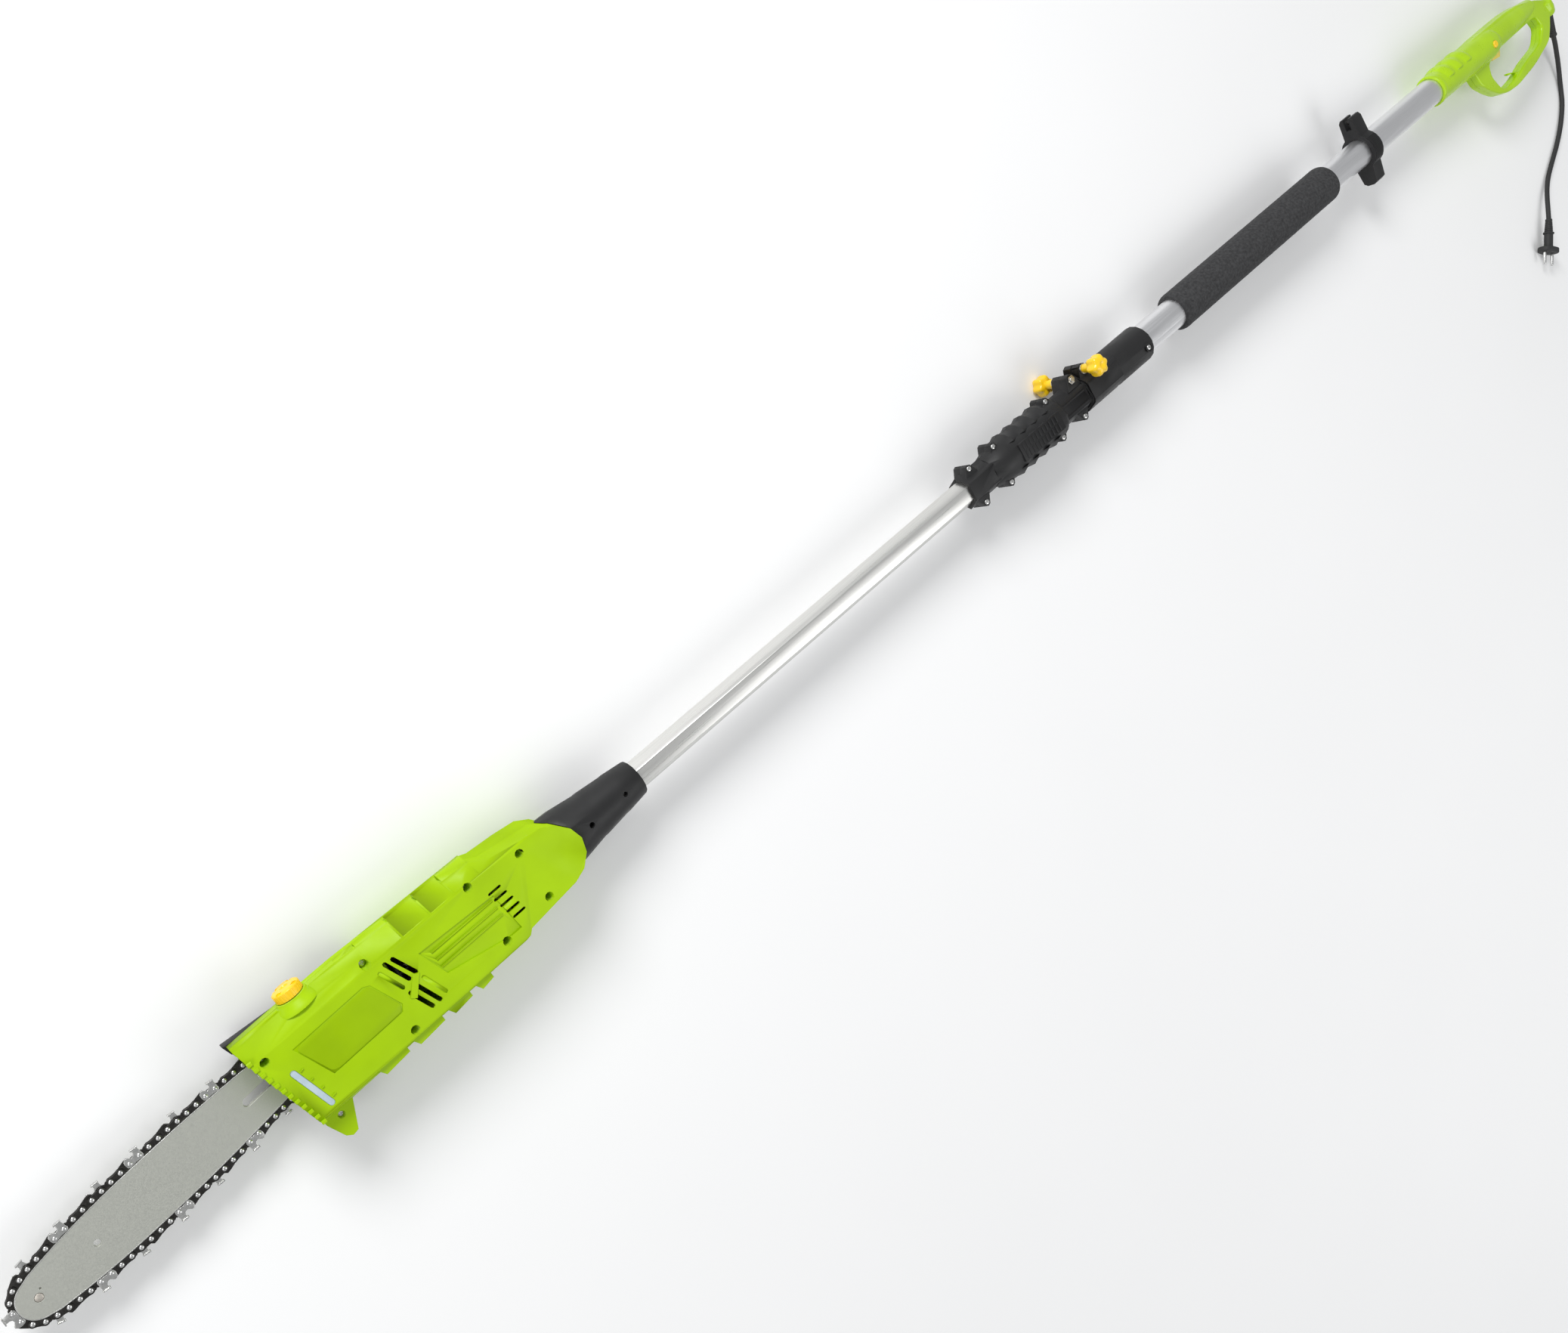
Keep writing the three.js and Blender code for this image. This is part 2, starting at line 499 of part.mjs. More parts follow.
function makeHousingFront() {
  const outer = join(headForm(HEAD_OUTLINE, 0), slab(HOOK_OUTLINE, 0, 14), gripSteps(), lowerSteps(),
    fillerBoss());
  const room = headForm(inset(HEAD_OUTLINE, WALL), WALL);
  let shell = cut(outer, room, fillerHole(), spigotHole());
  for (const [x, y] of HEAD_SCREWS) {
    const boss = meet(rodZ(BOSS_R, 0, HEAD_Z, x, y, 8), headForm(HEAD_OUTLINE, 0.4));
    shell = cut(join(shell, boss), rodZ(RECESS_R, SCREW_SEAT_Z, HEAD_Z + 2, x, y, 10));
  }
  shell = cut(shell, rodZ(3.6, 8, 15, ...HOOK_SCREW, 10), rodZ(2.2, -1, SCREW_SEAT_Z + 1, ...LONG_SCREW, 8));
  // Bearing webs.
  for (const [x0, x1] of [FRONT_BEARING_X, REAR_BEARING_X]) {
    const web = meet(box(x0 + 0.6, x1 - 0.6, -60, 60, 0, 15), headForm(HEAD_OUTLINE, 0.4));
    shell = join(shell, cut(web, rodX(10.3, x0 - 1, x1 + 1, MOTOR_Y, MOTOR_Z)));
  }
  const gearPost = cut(rodZ(13, CROWN_Z + 7.6, HEAD_Z - 1, DRIVE_X, DRIVE_Y, 14),
    rodZ(9.3, 0, CROWN_Z + 11.3, DRIVE_X, DRIVE_Y, 14));
  shell = join(shell, gearPost);
  // Oil window, label recess, vents and the recessed ribbed channel.
  const face = HEAD_Z;
  const cuts = [slab(slotOutline(WINDOW.from, WINDOW.to, WINDOW.wide), face - 4, face + 1)];
  cuts.push(slab([[-601, 26], [-587, -15.5], [-512, -14], [-508, -8], [-520, 25], [-526, 28]].reverse(),
    face - 0.5, face + 1));
  for (const [a, b] of [[[-491.5, 30], [-482, 6]], [[-499.5, 31], [-490, 5]],
    [[-488.5, -4.5], [-480, -29]], [[-497, -5], [-488.5, -29]]]) {
    cuts.push(strip(a, b, 4.2, face - 4, face + 1));
  }
  for (const [a, b] of [[[-507.5, 27], [-499, 3]], [[-480, -2], [-472, -26]]]) {
    cuts.push(strip(a, b, 4, face - 0.7, face + 1));
  }
  for (let i = 0; i < 5; i += 1) {
    cuts.push(strip([-390 + i * 1.6, 16.4 - i * 8], [-378 + i * 1.6, 16.4 - i * 8], 3.2, face - 4, face + 1));
  }
  const channel = slab([[-471, 18], [-461, -14.5], [-396, -28], [-384, -28], [-388, 14]].reverse(),
    face - 1.3, face + 1);
  const ribs = join(...[10, 1.5, -7].map((y) => box(-462, -391, y, y + 1.4, face - 1.5, face - 0.3)));
  cuts.push(cut(channel, ribs));
  const bridge = slab([[-486, 7], [-480.5, 4], [-495, -13], [-500, -9]], face - 2, face + 0.8);
  return above(join(cut(shell, ...cuts), bridge), SPLIT);
}

function makeHousingBack() {
  const rear = mirrorZ(headForm(HEAD_OUTLINE, 0));
  const motorEnd = meet(rear, box(COVER_REAR_X + GAP, -200, -80, 80, -HEAD_Z, 0));
  const gearEnd = meet(rear, box(-700, COVER_REAR_X + 1, -80, 80, SHELF_Z, 0));
  const underCover = box(-700, COVER_REAR_X + GAP, -80, 80, -60, SHELF_Z);
  const outer = cut(join(motorEnd, gearEnd, slab(HOOK_OUTLINE, -8, 0), mirrorZ(lowerSteps()), fillerBoss()),
    underCover);
  const room = mirrorZ(headForm(inset(HEAD_OUTLINE, WALL), WALL));
  const motorRoom = meet(room, box(COVER_REAR_X + WALL + GAP, -200, -80, 80, -HEAD_Z, 1));
  const gearRoom = meet(room, box(-700, COVER_REAR_X + WALL + 1, -80, 80, SHELF_Z + WALL, 1));
  let shell = cut(outer, motorRoom, gearRoom, fillerHole(), spigotHole());
  for (const [x, y] of HEAD_SCREWS) {
    const foot = x < COVER_REAR_X ? SHELF_Z : -HEAD_Z;
    const boss = meet(rodZ(5, foot, 0, x, y, 8), mirrorZ(headForm(HEAD_OUTLINE, 0.4)));
    shell = join(shell, boss);
  }
  shell = cut(shell, rodZ(2.2, -20, 1, ...LONG_SCREW, 8));
  for (const [x0, x1] of [FRONT_BEARING_X, REAR_BEARING_X]) {
    const web = meet(box(x0 + 0.6, x1 - 0.6, -60, 60, -HEAD_Z, 0), mirrorZ(headForm(HEAD_OUTLINE, 0.4)));
    shell = join(shell, cut(web, rodX(10.3, x0 - 1, x1 + 1, MOTOR_Y, MOTOR_Z)));
  }
  for (const x of [STATOR_X[0] + 10, STATOR_X[1] - 14]) {
    const cradle = meet(box(x, x + 4, -60, 60, -HEAD_Z, 0), mirrorZ(headForm(HEAD_OUTLINE, 0.4)));
    shell = join(shell, cut(cradle, rodX(STATOR_R + 1, x - 1, x + 5, MOTOR_Y, MOTOR_Z)));
  }
  // Holes in the shelf for the sprocket hub, the bar stud and the tensioner pin.
  shell = cut(shell,
    rodZ(7.6, SHELF_Z - 1, SHELF_Z + 4, DRIVE_X, DRIVE_Y, 14),
    slab(slotOutline(...TENSION_TRAVEL, 6), SHELF_Z - 1, SHELF_Z + 4),
    rodX(2.4, -660, -600, TENSION[1], TENSION_Z, 12),
    rodX(3.8, -660, -630.6, TENSION[1], TENSION_Z, 12),
    rodZ(STUD_R + 0.2, SHELF_Z - 1, SHELF_Z + 4, ...STUD, 16));
  return below(shell, -SPLIT);
}

function makeCover() {
  const cover = [[-615, -51], [COVER_REAR_X, -44], [COVER_REAR_X, 42], [-556, 45], [-641, 53.5]];
  const top = SHELF_Z - GAP;
  const lower = prismX([[-40, COVER_Z], [38, COVER_Z], [60, -18], [60, top], [-60, top], [-60, -20]],
    -660, -500);
  const room = meet(slab(inset(cover, 2.4), COVER_Z + 2.4, top + 1),
    prismX([[-38, COVER_Z + 2.4], [36.5, COVER_Z + 2.4], [57.5, -17], [57.5, top + 1], [-57.5, top + 1],
      [-57.5, -19]], -660, -500));
  const mouth = slab([[-4, -41], [48, -41], [48, 41], [-4, 41]].map(([u, v]) => toPole([u + SLOT_FROM, v])),
    BAR_Z - 6, top + 1);
  const post = rodZ(11, COVER_Z, BAR_Z - BAR_THICK / 2 - GAP, ...STUD, 20);
  const pocket = rodZ(9, COVER_Z - 1, COVER_Z + 9, ...STUD, 20);
  return cut(join(cut(meet(slab(cover, COVER_Z, top), lower), room, mouth), post), pocket,
    rodZ(STUD_R + 0.3, COVER_Z, 0, ...STUD, 16));
}

function makeTank() {
  const plan = [[-640, -60], [-585, -60], [-585, 33], [-559, 37], [-559, 60], [-640, 60]];
  const form = (off, low, high) => meet(headForm(inset(HEAD_OUTLINE, WALL + 0.5 + off), WALL + 0.5 + off),
    slab(inset(plan, off), low, high));
  const neck = rodY(11.1, 40, 56.2, CAP.x, CAP.z, 20);
  const clear = [rodZ(BOSS_R + 0.5, 0, HEAD_Z, ...HEAD_SCREWS[0], 16),
    rodZ(BOSS_R + 0.5, 0, HEAD_Z, ...HOOK_SCREW, 16)];
  const rib = slab(slotOutline(WINDOW.from, WINDOW.to, WINDOW.wide - 2 * GAP), 27, HEAD_Z - 0.8);
  const room = cut(form(2, 3, 27.6), rodZ(BOSS_R + 2.5, 0, HEAD_Z, ...HEAD_SCREWS[0], 16),
    rodZ(BOSS_R + 2.5, 0, HEAD_Z, ...HOOK_SCREW, 16));
  const body = cut(join(form(0, 1, 30.2), neck), ...clear);
  return cut(join(body, rib), room, rodY(9, 36, 60, CAP.x, CAP.z, 20));
}

function makeOilCap() {
  let cap = join(rodY(CAP.r, CAP.foot, CAP.top, CAP.x, CAP.z, 30),
    rodY(8.6, CAP.foot - 7, CAP.foot + 1, CAP.x, CAP.z, 20));
  for (let i = 0; i < 4; i += 1) {
    const notch = new THREE.BoxGeometry(6, 2.4, 5).translate(0, CAP.top - 0.8, CAP.r - 1);
    notch.rotateY(Math.PI / 4 + i * Math.PI / 2).translate(CAP.x, 0, CAP.z);
    cap = cap.subtract(solid(notch));
  }
  return cap;
}

put('housing_front', makeHousingFront(), GREEN);
put('housing_back', makeHousingBack(), GREEN);
put('sprocket_cover', makeCover(), BLACK);
put('oil_tank', makeTank(), TANK);
put('oil_cap', makeOilCap(), YELLOW);
put('oil_cap_seal', turnY([[8.9, 56.4], [11, 56.4], [11, 57.1], [8.9, 57.1], [8.9, 56.4]], CAP.x, CAP.z, 20),
  RUBBER);
put('oil_pump', box(-578, -562, -36, -24, SHELF_Z + WALL + GAP, -1), ALU);
put('bar_stud', rodZ(STUD_R, COVER_Z + 1.2, SHELF_Z + WALL - 0.4, ...STUD, 16), STEEL);
const nutOutline = polygon(6, 7.4).map(([x, y]) => [x + STUD[0], y + STUD[1]]);
const coverNut = slab(nutOutline, COVER_Z + 2, COVER_Z + 8.4);
put('cover_nut', cut(coverNut, rodZ(STUD_R + 0.2, COVER_Z, 0, ...STUD, 16)), STEEL);
put('tension_screw', turnX([[0, -634], [3.4, -634], [3.4, -631], [1.9, -631], [1.9, TENSION[0] + 3],
  [0, TENSION[0] + 3]], TENSION[1], TENSION_Z, 12), STEEL);
put('tension_pin', cut(join(box(TENSION[0] - 4, TENSION[0] + 4, TENSION[1] - 4, TENSION[1] + 4, -7.5, -1.4),
  rodZ(2.7, BAR_Z - 1.8, -7, ...TENSION, 14)), rodX(2.1, -660, -500, TENSION[1], TENSION_Z, 12)), STEEL);
put('housing_screw', screwZ(...LONG_SCREW, -18, SCREW_SEAT_Z + 3, 1.8, 3.9, 2.6), STEEL);

// ---- neck and inner pole ----------------------------------------------------------------------
const hexRod = (radius, x0, x1) => prismX(polygon(6, radius), x0, x1);

function makeNeck() {
  const outer = meet(turnX([[0, NECK_X[0]], [NECK_R[0], NECK_X[0]], [NECK_R[0] - 1, -292], [25.5, -262],
    [25.5, -258], [22.5, -230], [22.5, -226], [NECK_R[1], NECK_X[1]], [0, NECK_X[1]]], 0, 0, 16),
  box(-400, -100, -60, 60, -27, 27));
  const clear = slab(inset(HEAD_OUTLINE, -0.6), -40, 40);
  const spigot = pipeX(20, 16.8, NECK_X[0] + 8, -270, 0, 0, 24);
  const hollow = turnX([[0, -330], [26, -330], [25, -292], [20.5, -276], [16.8, -274], [0, -274]], 0, 0, 24);
  return cut(join(cut(outer, clear, hollow), spigot), hexRod(HEX_R + GAP, -290, -190),
    rodX(16.8, -330, -273), rodZ(3, 10, 40, -272, 0, 14), rodZ(2.6, 10, 40, -226, 0, 14));
}

const neck = makeNeck();
put('neck_front', above(neck, SPLIT), BLACK);
put('neck_back', below(neck, -SPLIT), BLACK);
const poleBore = hexRod(HEX_R - HEX_WALL * 2 / Math.sqrt(3), -FAR, FAR);
put('inner_pole', cut(hexRod(HEX_R, ...INNER_X), poleBore), ALU);

// ---- coupling ---------------------------------------------------------------------------------
const COUPLING_SCREWS = [[324, 22], [324, -22], [368, 23.5], [368, -23.5], [465, 24], [465, -24], [509, -22]];
const LUG_R = 5;
const LUG_Z = 11;
const CLAMP_Z = 13;

function lug(x, y, r, z) {
  const side = Math.sign(y);
  const root = 14;
  const outer = y + side * r * 0.5;
  const gusset = [[x - r - 5, side * root], [x + r + 5, side * root],
    [x + r * 0.8, outer], [x - r * 0.8, outer]];
  return join(rodZ(r, -z, z, x, y, 8), slab(gusset, -z, z));
}

// Hexagonal pocket that keeps a clamp nut from turning.
const NUT_R = 5.4;
const NUT_DEEP = 2.2;
const nutPocket = ({ x, y }, side) => slab(polygon(6, NUT_R + GAP + 0.1).map(([u, v]) => [u + x, v + y]),
  side > 0 ? CLAMP_Z - NUT_DEEP - GAP : -40, side > 0 ? 40 : -CLAMP_Z + NUT_DEEP + GAP);

function makeCoupling() {
  const grip = turnX([[0, COLLAR_X[1] - 3], [19, COLLAR_X[1] - 3], [23.5, 366], [25.5, GRIP_X[0]],
    [25.5, GRIP_X[1]], [22.5, REAR_X[0]], [0, REAR_X[0]]], 0, 0, 16);
  const ridges = [390, 410, 430, 450].map((x) => meet(
    turnX([[0, x - 8], [25, x - 8], [GRIP_R + 1, x], [25, x + 8], [0, x + 8]], 0, 0, 16),
    join(box(x - 9, x + 9, 17, 40, -40, 40), box(x - 9, x + 9, -40, -17, -40, 40))));
  const panels = box(388, 462, -11, 11, -26.6, 26.6);
  const rear = join(hexRod(COLLAR_R, REAR_X[0] - 1, REAR_X[1]),
    ...[-1, 1].flatMap((side) => [-7, 7].map((y) => box(REAR_X[0], REAR_X[1] - 6, y - 1, y + 1,
      Math.min(0, side * 19), Math.max(0, side * 19)))));
  const lugs = COUPLING_SCREWS.map(([x, y]) => lug(x, y, LUG_R, LUG_Z));
  const clamp = lug(CLAMP_1.x, CLAMP_1.y, 7.4, CLAMP_Z);
  const body = join(hexRod(COLLAR_R, ...COLLAR_X), grip, ...ridges, panels, rear, ...lugs,
    meet(clamp, box(0, REAR_X[1], -60, 60, -60, 60)), rodX(19.7, REAR_X[1] - 1, BLOCK_X[0] + 32));
  const hollow = turnX([[0, 386], [21, 386], [21, 462], [0, 462]], 0, 0, 16);
  const holes = COUPLING_SCREWS.map(([x, y]) => rodZ(3.7, LUG_Z - 1.6, LUG_Z + 12, x, y, 8));
  return cut(body, hollow, hexRod(HEX_R + GAP, 300, 600), ...holes, nutPocket(CLAMP_1, 1),
    rodZ(2.1, -8, LUG_Z + 1, ...COUPLING_SCREWS[2], 8),
    rodZ(3.2, -30, 30, CLAMP_1.x, CLAMP_1.y, 12));
}

const coupling = makeCoupling();
put('coupling_front', above(coupling, SPLIT), BLACK);
put('coupling_back', below(coupling, -SPLIT), BLACK);
put('coupling_screw', screwZ(...COUPLING_SCREWS[2], -7, LUG_Z + 1.2, 1.6, 3.3, 2.4), STEEL);

// ---- socket, outer pole and its fittings ---------------------------------------------------------
function makeSocket() {
  const block = meet(prismX(polygon(6, 25.5), ...BLOCK_X), rodX(24.5, ...BLOCK_X, 0, 0, 16));
  const sleeve = turnX([[0, SLEEVE_X[0] - 4], [22, SLEEVE_X[0] - 4], [SLEEVE_R, SLEEVE_X[0]],
    [SLEEVE_R, SLEEVE_X[1] - 2], [SLEEVE_R - 1.6, SLEEVE_X[1]], [0, SLEEVE_X[1]]], 0, 0, 16);
  const ears = lug(CLAMP_2.x, CLAMP_2.y, 7.4, CLAMP_Z);
  const earsFit = meet(ears, box(BLOCK_X[0], FAR, -60, 60, -60, 60));
  const boss = rodZ(6, 10, 25, 634, -4, 16);
  return cut(join(block, sleeve, earsFit, boss),
    rodX(20, 500, BLOCK_X[0] + 33), rodX(OUTER_R + GAP, BLOCK_X[0] + 30, 700, 0, 0, POLE_SIDES),
    box(500, 572, 12, 60, -0.8, 0.8), rodZ(3.2, -30, 30, CLAMP_2.x, CLAMP_2.y, 12),
    nutPocket(CLAMP_2, -1), rodZ(4, 22.6, 40, 634, -4, 14), rodZ(2.1, 15, 24, 634, -4, 10));
}

// Clamp knob on a bolt along Z: side +1 puts the grip above the lug, -1 below it.
function makeKnob({ x, y }, side, top) {
  const lobes = Array.from({ length: 30 }, (_, i) => {
    const angle = 2 * Math.PI * i / 30;
    const r = KNOB_R - 1.1 + 1.1 * Math.cos(6 * angle);
    return [x + r * Math.cos(angle), y + r * Math.sin(angle)];
  });
  const head = meet(slab(lobes, top - 17, top), turnZ([[0, top - 17], [KNOB_R - 2.5, top - 17],
    [KNOB_R, top - 12], [KNOB_R, top - 4], [KNOB_R - 2.5, top - 0.8], [3, top], [0, top]], x, y, 24));
  const stem = rodZ(5.2, CLAMP_Z + 2.4, top - 16, x, y, 16);
  const bolt = rodZ(2.8, -CLAMP_Z - 3, CLAMP_Z + 4, x, y, 12);
  const knob = join(head, stem, bolt);
  return side > 0 ? knob : mirrorZ(knob);
}
const ringZ = ({ x, y }, r, bore, side, z0, z1) =>
  pipeZ(r, bore, Math.min(side * z0, side * z1), Math.max(side * z0, side * z1), x, y, 18);
const nutZ = ({ x, y }, side) => {
  const [a, b] = [side * (CLAMP_Z - NUT_DEEP), side * (CLAMP_Z + 1.6)].sort((p, q) => p - q);
  return cut(slab(polygon(6, NUT_R).map(([u, v]) => [u + x, v + y]), a, b), rodZ(3.1, -40, 40, x, y, 12));
};

put('socket_sleeve', makeSocket(), BLACK);
put('sleeve_screw', screwZ(634, -4, 19.3, 25.2, 1.8, 3.6, 2.3), STEEL);
put('knob_1', makeKnob(CLAMP_1, -1, -FLOOR_Z), YELLOW);
put('knob_1_washer', ringZ(CLAMP_1, 6, 3.2, -1, CLAMP_Z + GAP, CLAMP_Z + 2), STEEL);
put('knob_1_nut', nutZ(CLAMP_1, 1), STEEL);
put('knob_2', makeKnob(CLAMP_2, 1, -FLOOR_Z + 1.5), YELLOW);
put('knob_2_washer', ringZ(CLAMP_2, 6, 3.2, 1, CLAMP_Z + GAP, CLAMP_Z + 2), STEEL);
put('knob_2_nut', nutZ(CLAMP_2, -1), STEEL);
put('outer_pole', pipeX(OUTER_R, OUTER_R - OUTER_WALL, ...OUTER_X, 0, 0, POLE_SIDES), ALU);
put('foam_grip', turnX([[OUTER_R + GAP, FOAM_X[0]], [FOAM_R - 2.5, FOAM_X[0]], [FOAM_R - 0.6, FOAM_X[0] + 2],
  [FOAM_R, FOAM_X[0] + 6], [FOAM_R, FOAM_X[1] - 6], [FOAM_R - 0.6, FOAM_X[1] - 2], [FOAM_R - 2.5, FOAM_X[1]],
  [OUTER_R + GAP, FOAM_X[1]], [OUTER_R + GAP, FOAM_X[0]]], 0, 0, POLE_SIDES), FOAM);

const PIN_Y = 43;
function makeStrapClamp() {
  const [x0, x1] = STRAP_X;
  const ear = prismX([[15, -13], [46, -11], [50, -8], [50, 8], [46, 11], [15, 13]], x0, x1);
  const tail = prismX([[-15, 14], [-44, 10], [-47, 5], [-47, -5], [-44, -10], [-15, -14]].reverse(), x0, x1);
  return cut(join(pipeX(STRAP_R, OUTER_R, x0, x1, 0, 0, 24), ear, tail),
    rodX(OUTER_R + GAP, x0 - 1, x1 + 1, 0, 0, POLE_SIDES), box(x0 - 1, x1 + 1, 34, 60, -4, 4),
    rodZ(2.8, -9, 9, (x0 + x1) / 2, PIN_Y, 12));
}
put('strap_clamp', makeStrapClamp(), BLACK);
put('strap_pin', rodZ(2.5, -8.6, 8.6, (STRAP_X[0] + STRAP_X[1]) / 2, PIN_Y, 12), STEEL);

// ---- handle ---------------------------------------------------------------------------------
const LOOP_OUTER = [
  [1446.5, -18], [1453.5, -40.5], [1472.5, -58.5], [1490, -71], [1511, -77.5], [1541.5, -79.5],
  [1596, -73], [1648, -59.5], [1662, -45], [1677.5, -22], [1679, -15], [1674.5, -4], [1645, 8],
  [1604, 18.5], [1564, 22], [1446.5, 22],
];
const LOOP_INNER = [
  [1488, -24], [1519, -16], [1628, -14], [1636.5, -17], [1643.5, -33.5], [1625, -52], [1579, -58],
  [1543.5, -67.5], [1512, -70.5], [1496.5, -64.5], [1484.5, -41],
];
const LOOP_BEVEL = 6.5;          // height of the chamfer round the loop
const LOOP_EDGE = 2.8;           // and its width
const RELIEF_AT = new THREE.Vector3(1684, -27, 0);
const RELIEF_DIR = new THREE.Vector3(0.4, -0.86, -0.31).normalize();
const RELIEF_LONG = 45;

// Turned piece along a free direction; heights in the profile run from `at` along `dir`.
function turnAlong(profile, at, dir, sides = 16) {
  const turn = new THREE.Quaternion().setFromUnitVectors(new THREE.Vector3(0, 1, 0), dir);
  return solid(lathe(profile, sides).applyQuaternion(turn).translate(at.x, at.y, at.z));
}

function makeHandle() {
  const shape = outline(LOOP_OUTER);
  shape.holes = [outline(LOOP_INNER)];
  const loop = solid(new THREE.ExtrudeGeometry(shape, {
    depth: 2 * (HANDLE_Z - LOOP_BEVEL), bevelEnabled: true, bevelThickness: LOOP_BEVEL,
    bevelSize: LOOP_EDGE, bevelOffset: -LOOP_EDGE, bevelSegments: 1,
  }).translate(0, 0, -(HANDLE_Z - LOOP_BEVEL)));
  const barrel = turnX([[0, HANDLE_X[0]], [COLLAR_HANDLE_R - 1, HANDLE_X[0]],
    [COLLAR_HANDLE_R, HANDLE_X[0] + 1.5], [COLLAR_HANDLE_R, HANDLE_X[0] + 7],
    [COLLAR_HANDLE_R - 0.8, HANDLE_X[0] + 8.5], [22.2, 1440], [22.4, 1500], [19, 1520],
    [0, 1530]], 0, 0, 20);
  const topBar = turnX([[0, 1475], [18.5, 1490], [19, 1530], [18.5, 1565], [16.5, 1600], [11, 1640],
    [0, 1655]], 2, 0, 16);
  const scallops = [1378, 1402, 1426].map((x) => meet(
    turnX([[0, x - 10], [21.4, x - 10], [24.8, x - 1], [24.8, x + 4], [21.4, x + 9], [0, x + 9]],
      0, 0, 16),
    box(x - 10, x + 10, 8, 30, -30, 30)));
  const boss = turnAlong([[0, -24], [8, -24], [10.5, -12], [10.5, -3], [9.5, 0], [0, 0]],
    RELIEF_AT, RELIEF_DIR);
  const body = join(cut(join(barrel, topBar), slab(LOOP_INNER, -40, 40)), loop, boss, ...scallops);
  const hook = slab([[1560, -74], [1546, -61], [1533, -59.5], [1529, -54.5], [1573, -69]], -3.5, 3.5);
  const room = join(turnX([[0, 1425], [18, 1425], [18, 1480], [0, 1481]], 0, 0, 16),
    turnX([[0, 1478], [13.2, 1478], [13.2, 1548], [0, 1549]], 2, 0, 16));
  return cut(join(body, hook), rodX(OUTER_R + GAP, 1300, OUTER_X[1] + GAP, 0, 0, POLE_SIDES), room,
    box(1415, 1430, -6, 6, -6, 6), rodZ(LOCK.r + GAP, 4, 40, LOCK.x, LOCK.y, 18),
    slab([[1497, -8], [1534, -8], [1534, -30], [1488, -30]].reverse(), -6.3, 6.3),
    turnAlong([[0, -12], [7.2, -12], [7.2, 30], [0, 30]], RELIEF_AT, RELIEF_DIR),
    slab(slotOutline([1580, -67], [1608, -61.5], 5), -2.6, 2.6),
    box(1540, 1668, -12, -6, -3, 3), box(1664, 1675, -22, -9, -3, 3));
}

const handle = makeHandle();
put('handle_front', above(handle, SPLIT), GREEN);
put('handle_back', below(handle, -SPLIT), GREEN);
const TRIGGER_PIVOT = { x: 1502, y: -10.5 };
put('trigger', cut(slab([[1498.5, -8.5], [1500, -15], [1504.5, -24], [1524, -26.5], [1528.5, -20],
  [1530, -10], [1526, -8.5]], -5.9, 5.9), rodZ(1.8, -9, 9, TRIGGER_PIVOT.x, TRIGGER_PIVOT.y, 10)), YELLOW);
put('trigger_pin', rodZ(1.5, -5.8, 5.8, TRIGGER_PIVOT.x, TRIGGER_PIVOT.y, 10), STEEL);
const lockHead = rodZ(LOCK.r, 13, 24.2, LOCK.x, LOCK.y, 18);
put('lock_button', join(lockHead, rodZ(LOCK.r - 1.5, 10.2, 14, LOCK.x, LOCK.y, 14)), YELLOW);
put('power_switch', box(1506, 1545, -2.5, 12, -8, 8), BLACK);

// ---- power cord and plug --------------------------------------------------------------------
const reliefPoint = (distance) => RELIEF_AT.clone().addScaledVector(RELIEF_DIR, distance);
put('strain_relief', turnAlong([[0, -8], [6.8, -8], [6.8, 3], [6.2, 5], [4.8, RELIEF_LONG - 3],
  [5.6, RELIEF_LONG - 2.6], [5.6, RELIEF_LONG], [0, RELIEF_LONG]], RELIEF_AT, RELIEF_DIR), RUBBER);

const CORD_START = reliefPoint(RELIEF_LONG + GAP);
// The free cord, from the strain relief down to the floor and along it to the plug.
const CORD_ROUTE = [
  [1709, -80, -19.5], [1715, -95, -25.4], [1720, -111, -31.2], [1722.5, -127, -36.2],
  [1722, -142, -39.6], [1718, -157, -41], [1711, -171, -41], [1700, -185, -41], [1687, -198, -41],
  [1672, -210, -41], [1656, -221, -41], [1639, -231, -41], [1622, -241, -41], [1606, -251, -40.6],
  [1591, -262, -38.8], [1577, -274, -35.8], [1565, -287, -33.2],
];
const PLUG_AT = new THREE.Vector3(1556, -299, -32);
const PLUG_DIR = new THREE.Vector3(-0.6, -0.8, 0);
const cordCurve = new THREE.CatmullRomCurve3([
  CORD_START,
  ...CORD_ROUTE.map((point) => new THREE.Vector3(...point)),
  PLUG_AT.clone().addScaledVector(PLUG_DIR, -GAP),
], false, 'centripetal');
const cordSection = outline(polygon(8, CORD_R));
put('power_cord', solid(new THREE.ExtrudeGeometry(cordSection,
  { steps: 34, bevelEnabled: false, extrudePath: cordCurve })), RUBBER);

const FACE_WIDE = 36;
const FACE_HIGH = 24;
const plugFrame = new THREE.Matrix4().makeBasis(
  new THREE.Vector3(PLUG_DIR.y, -PLUG_DIR.x, 0), new THREE.Vector3(0, 0, 1), PLUG_DIR)
  .setPosition(PLUG_AT);
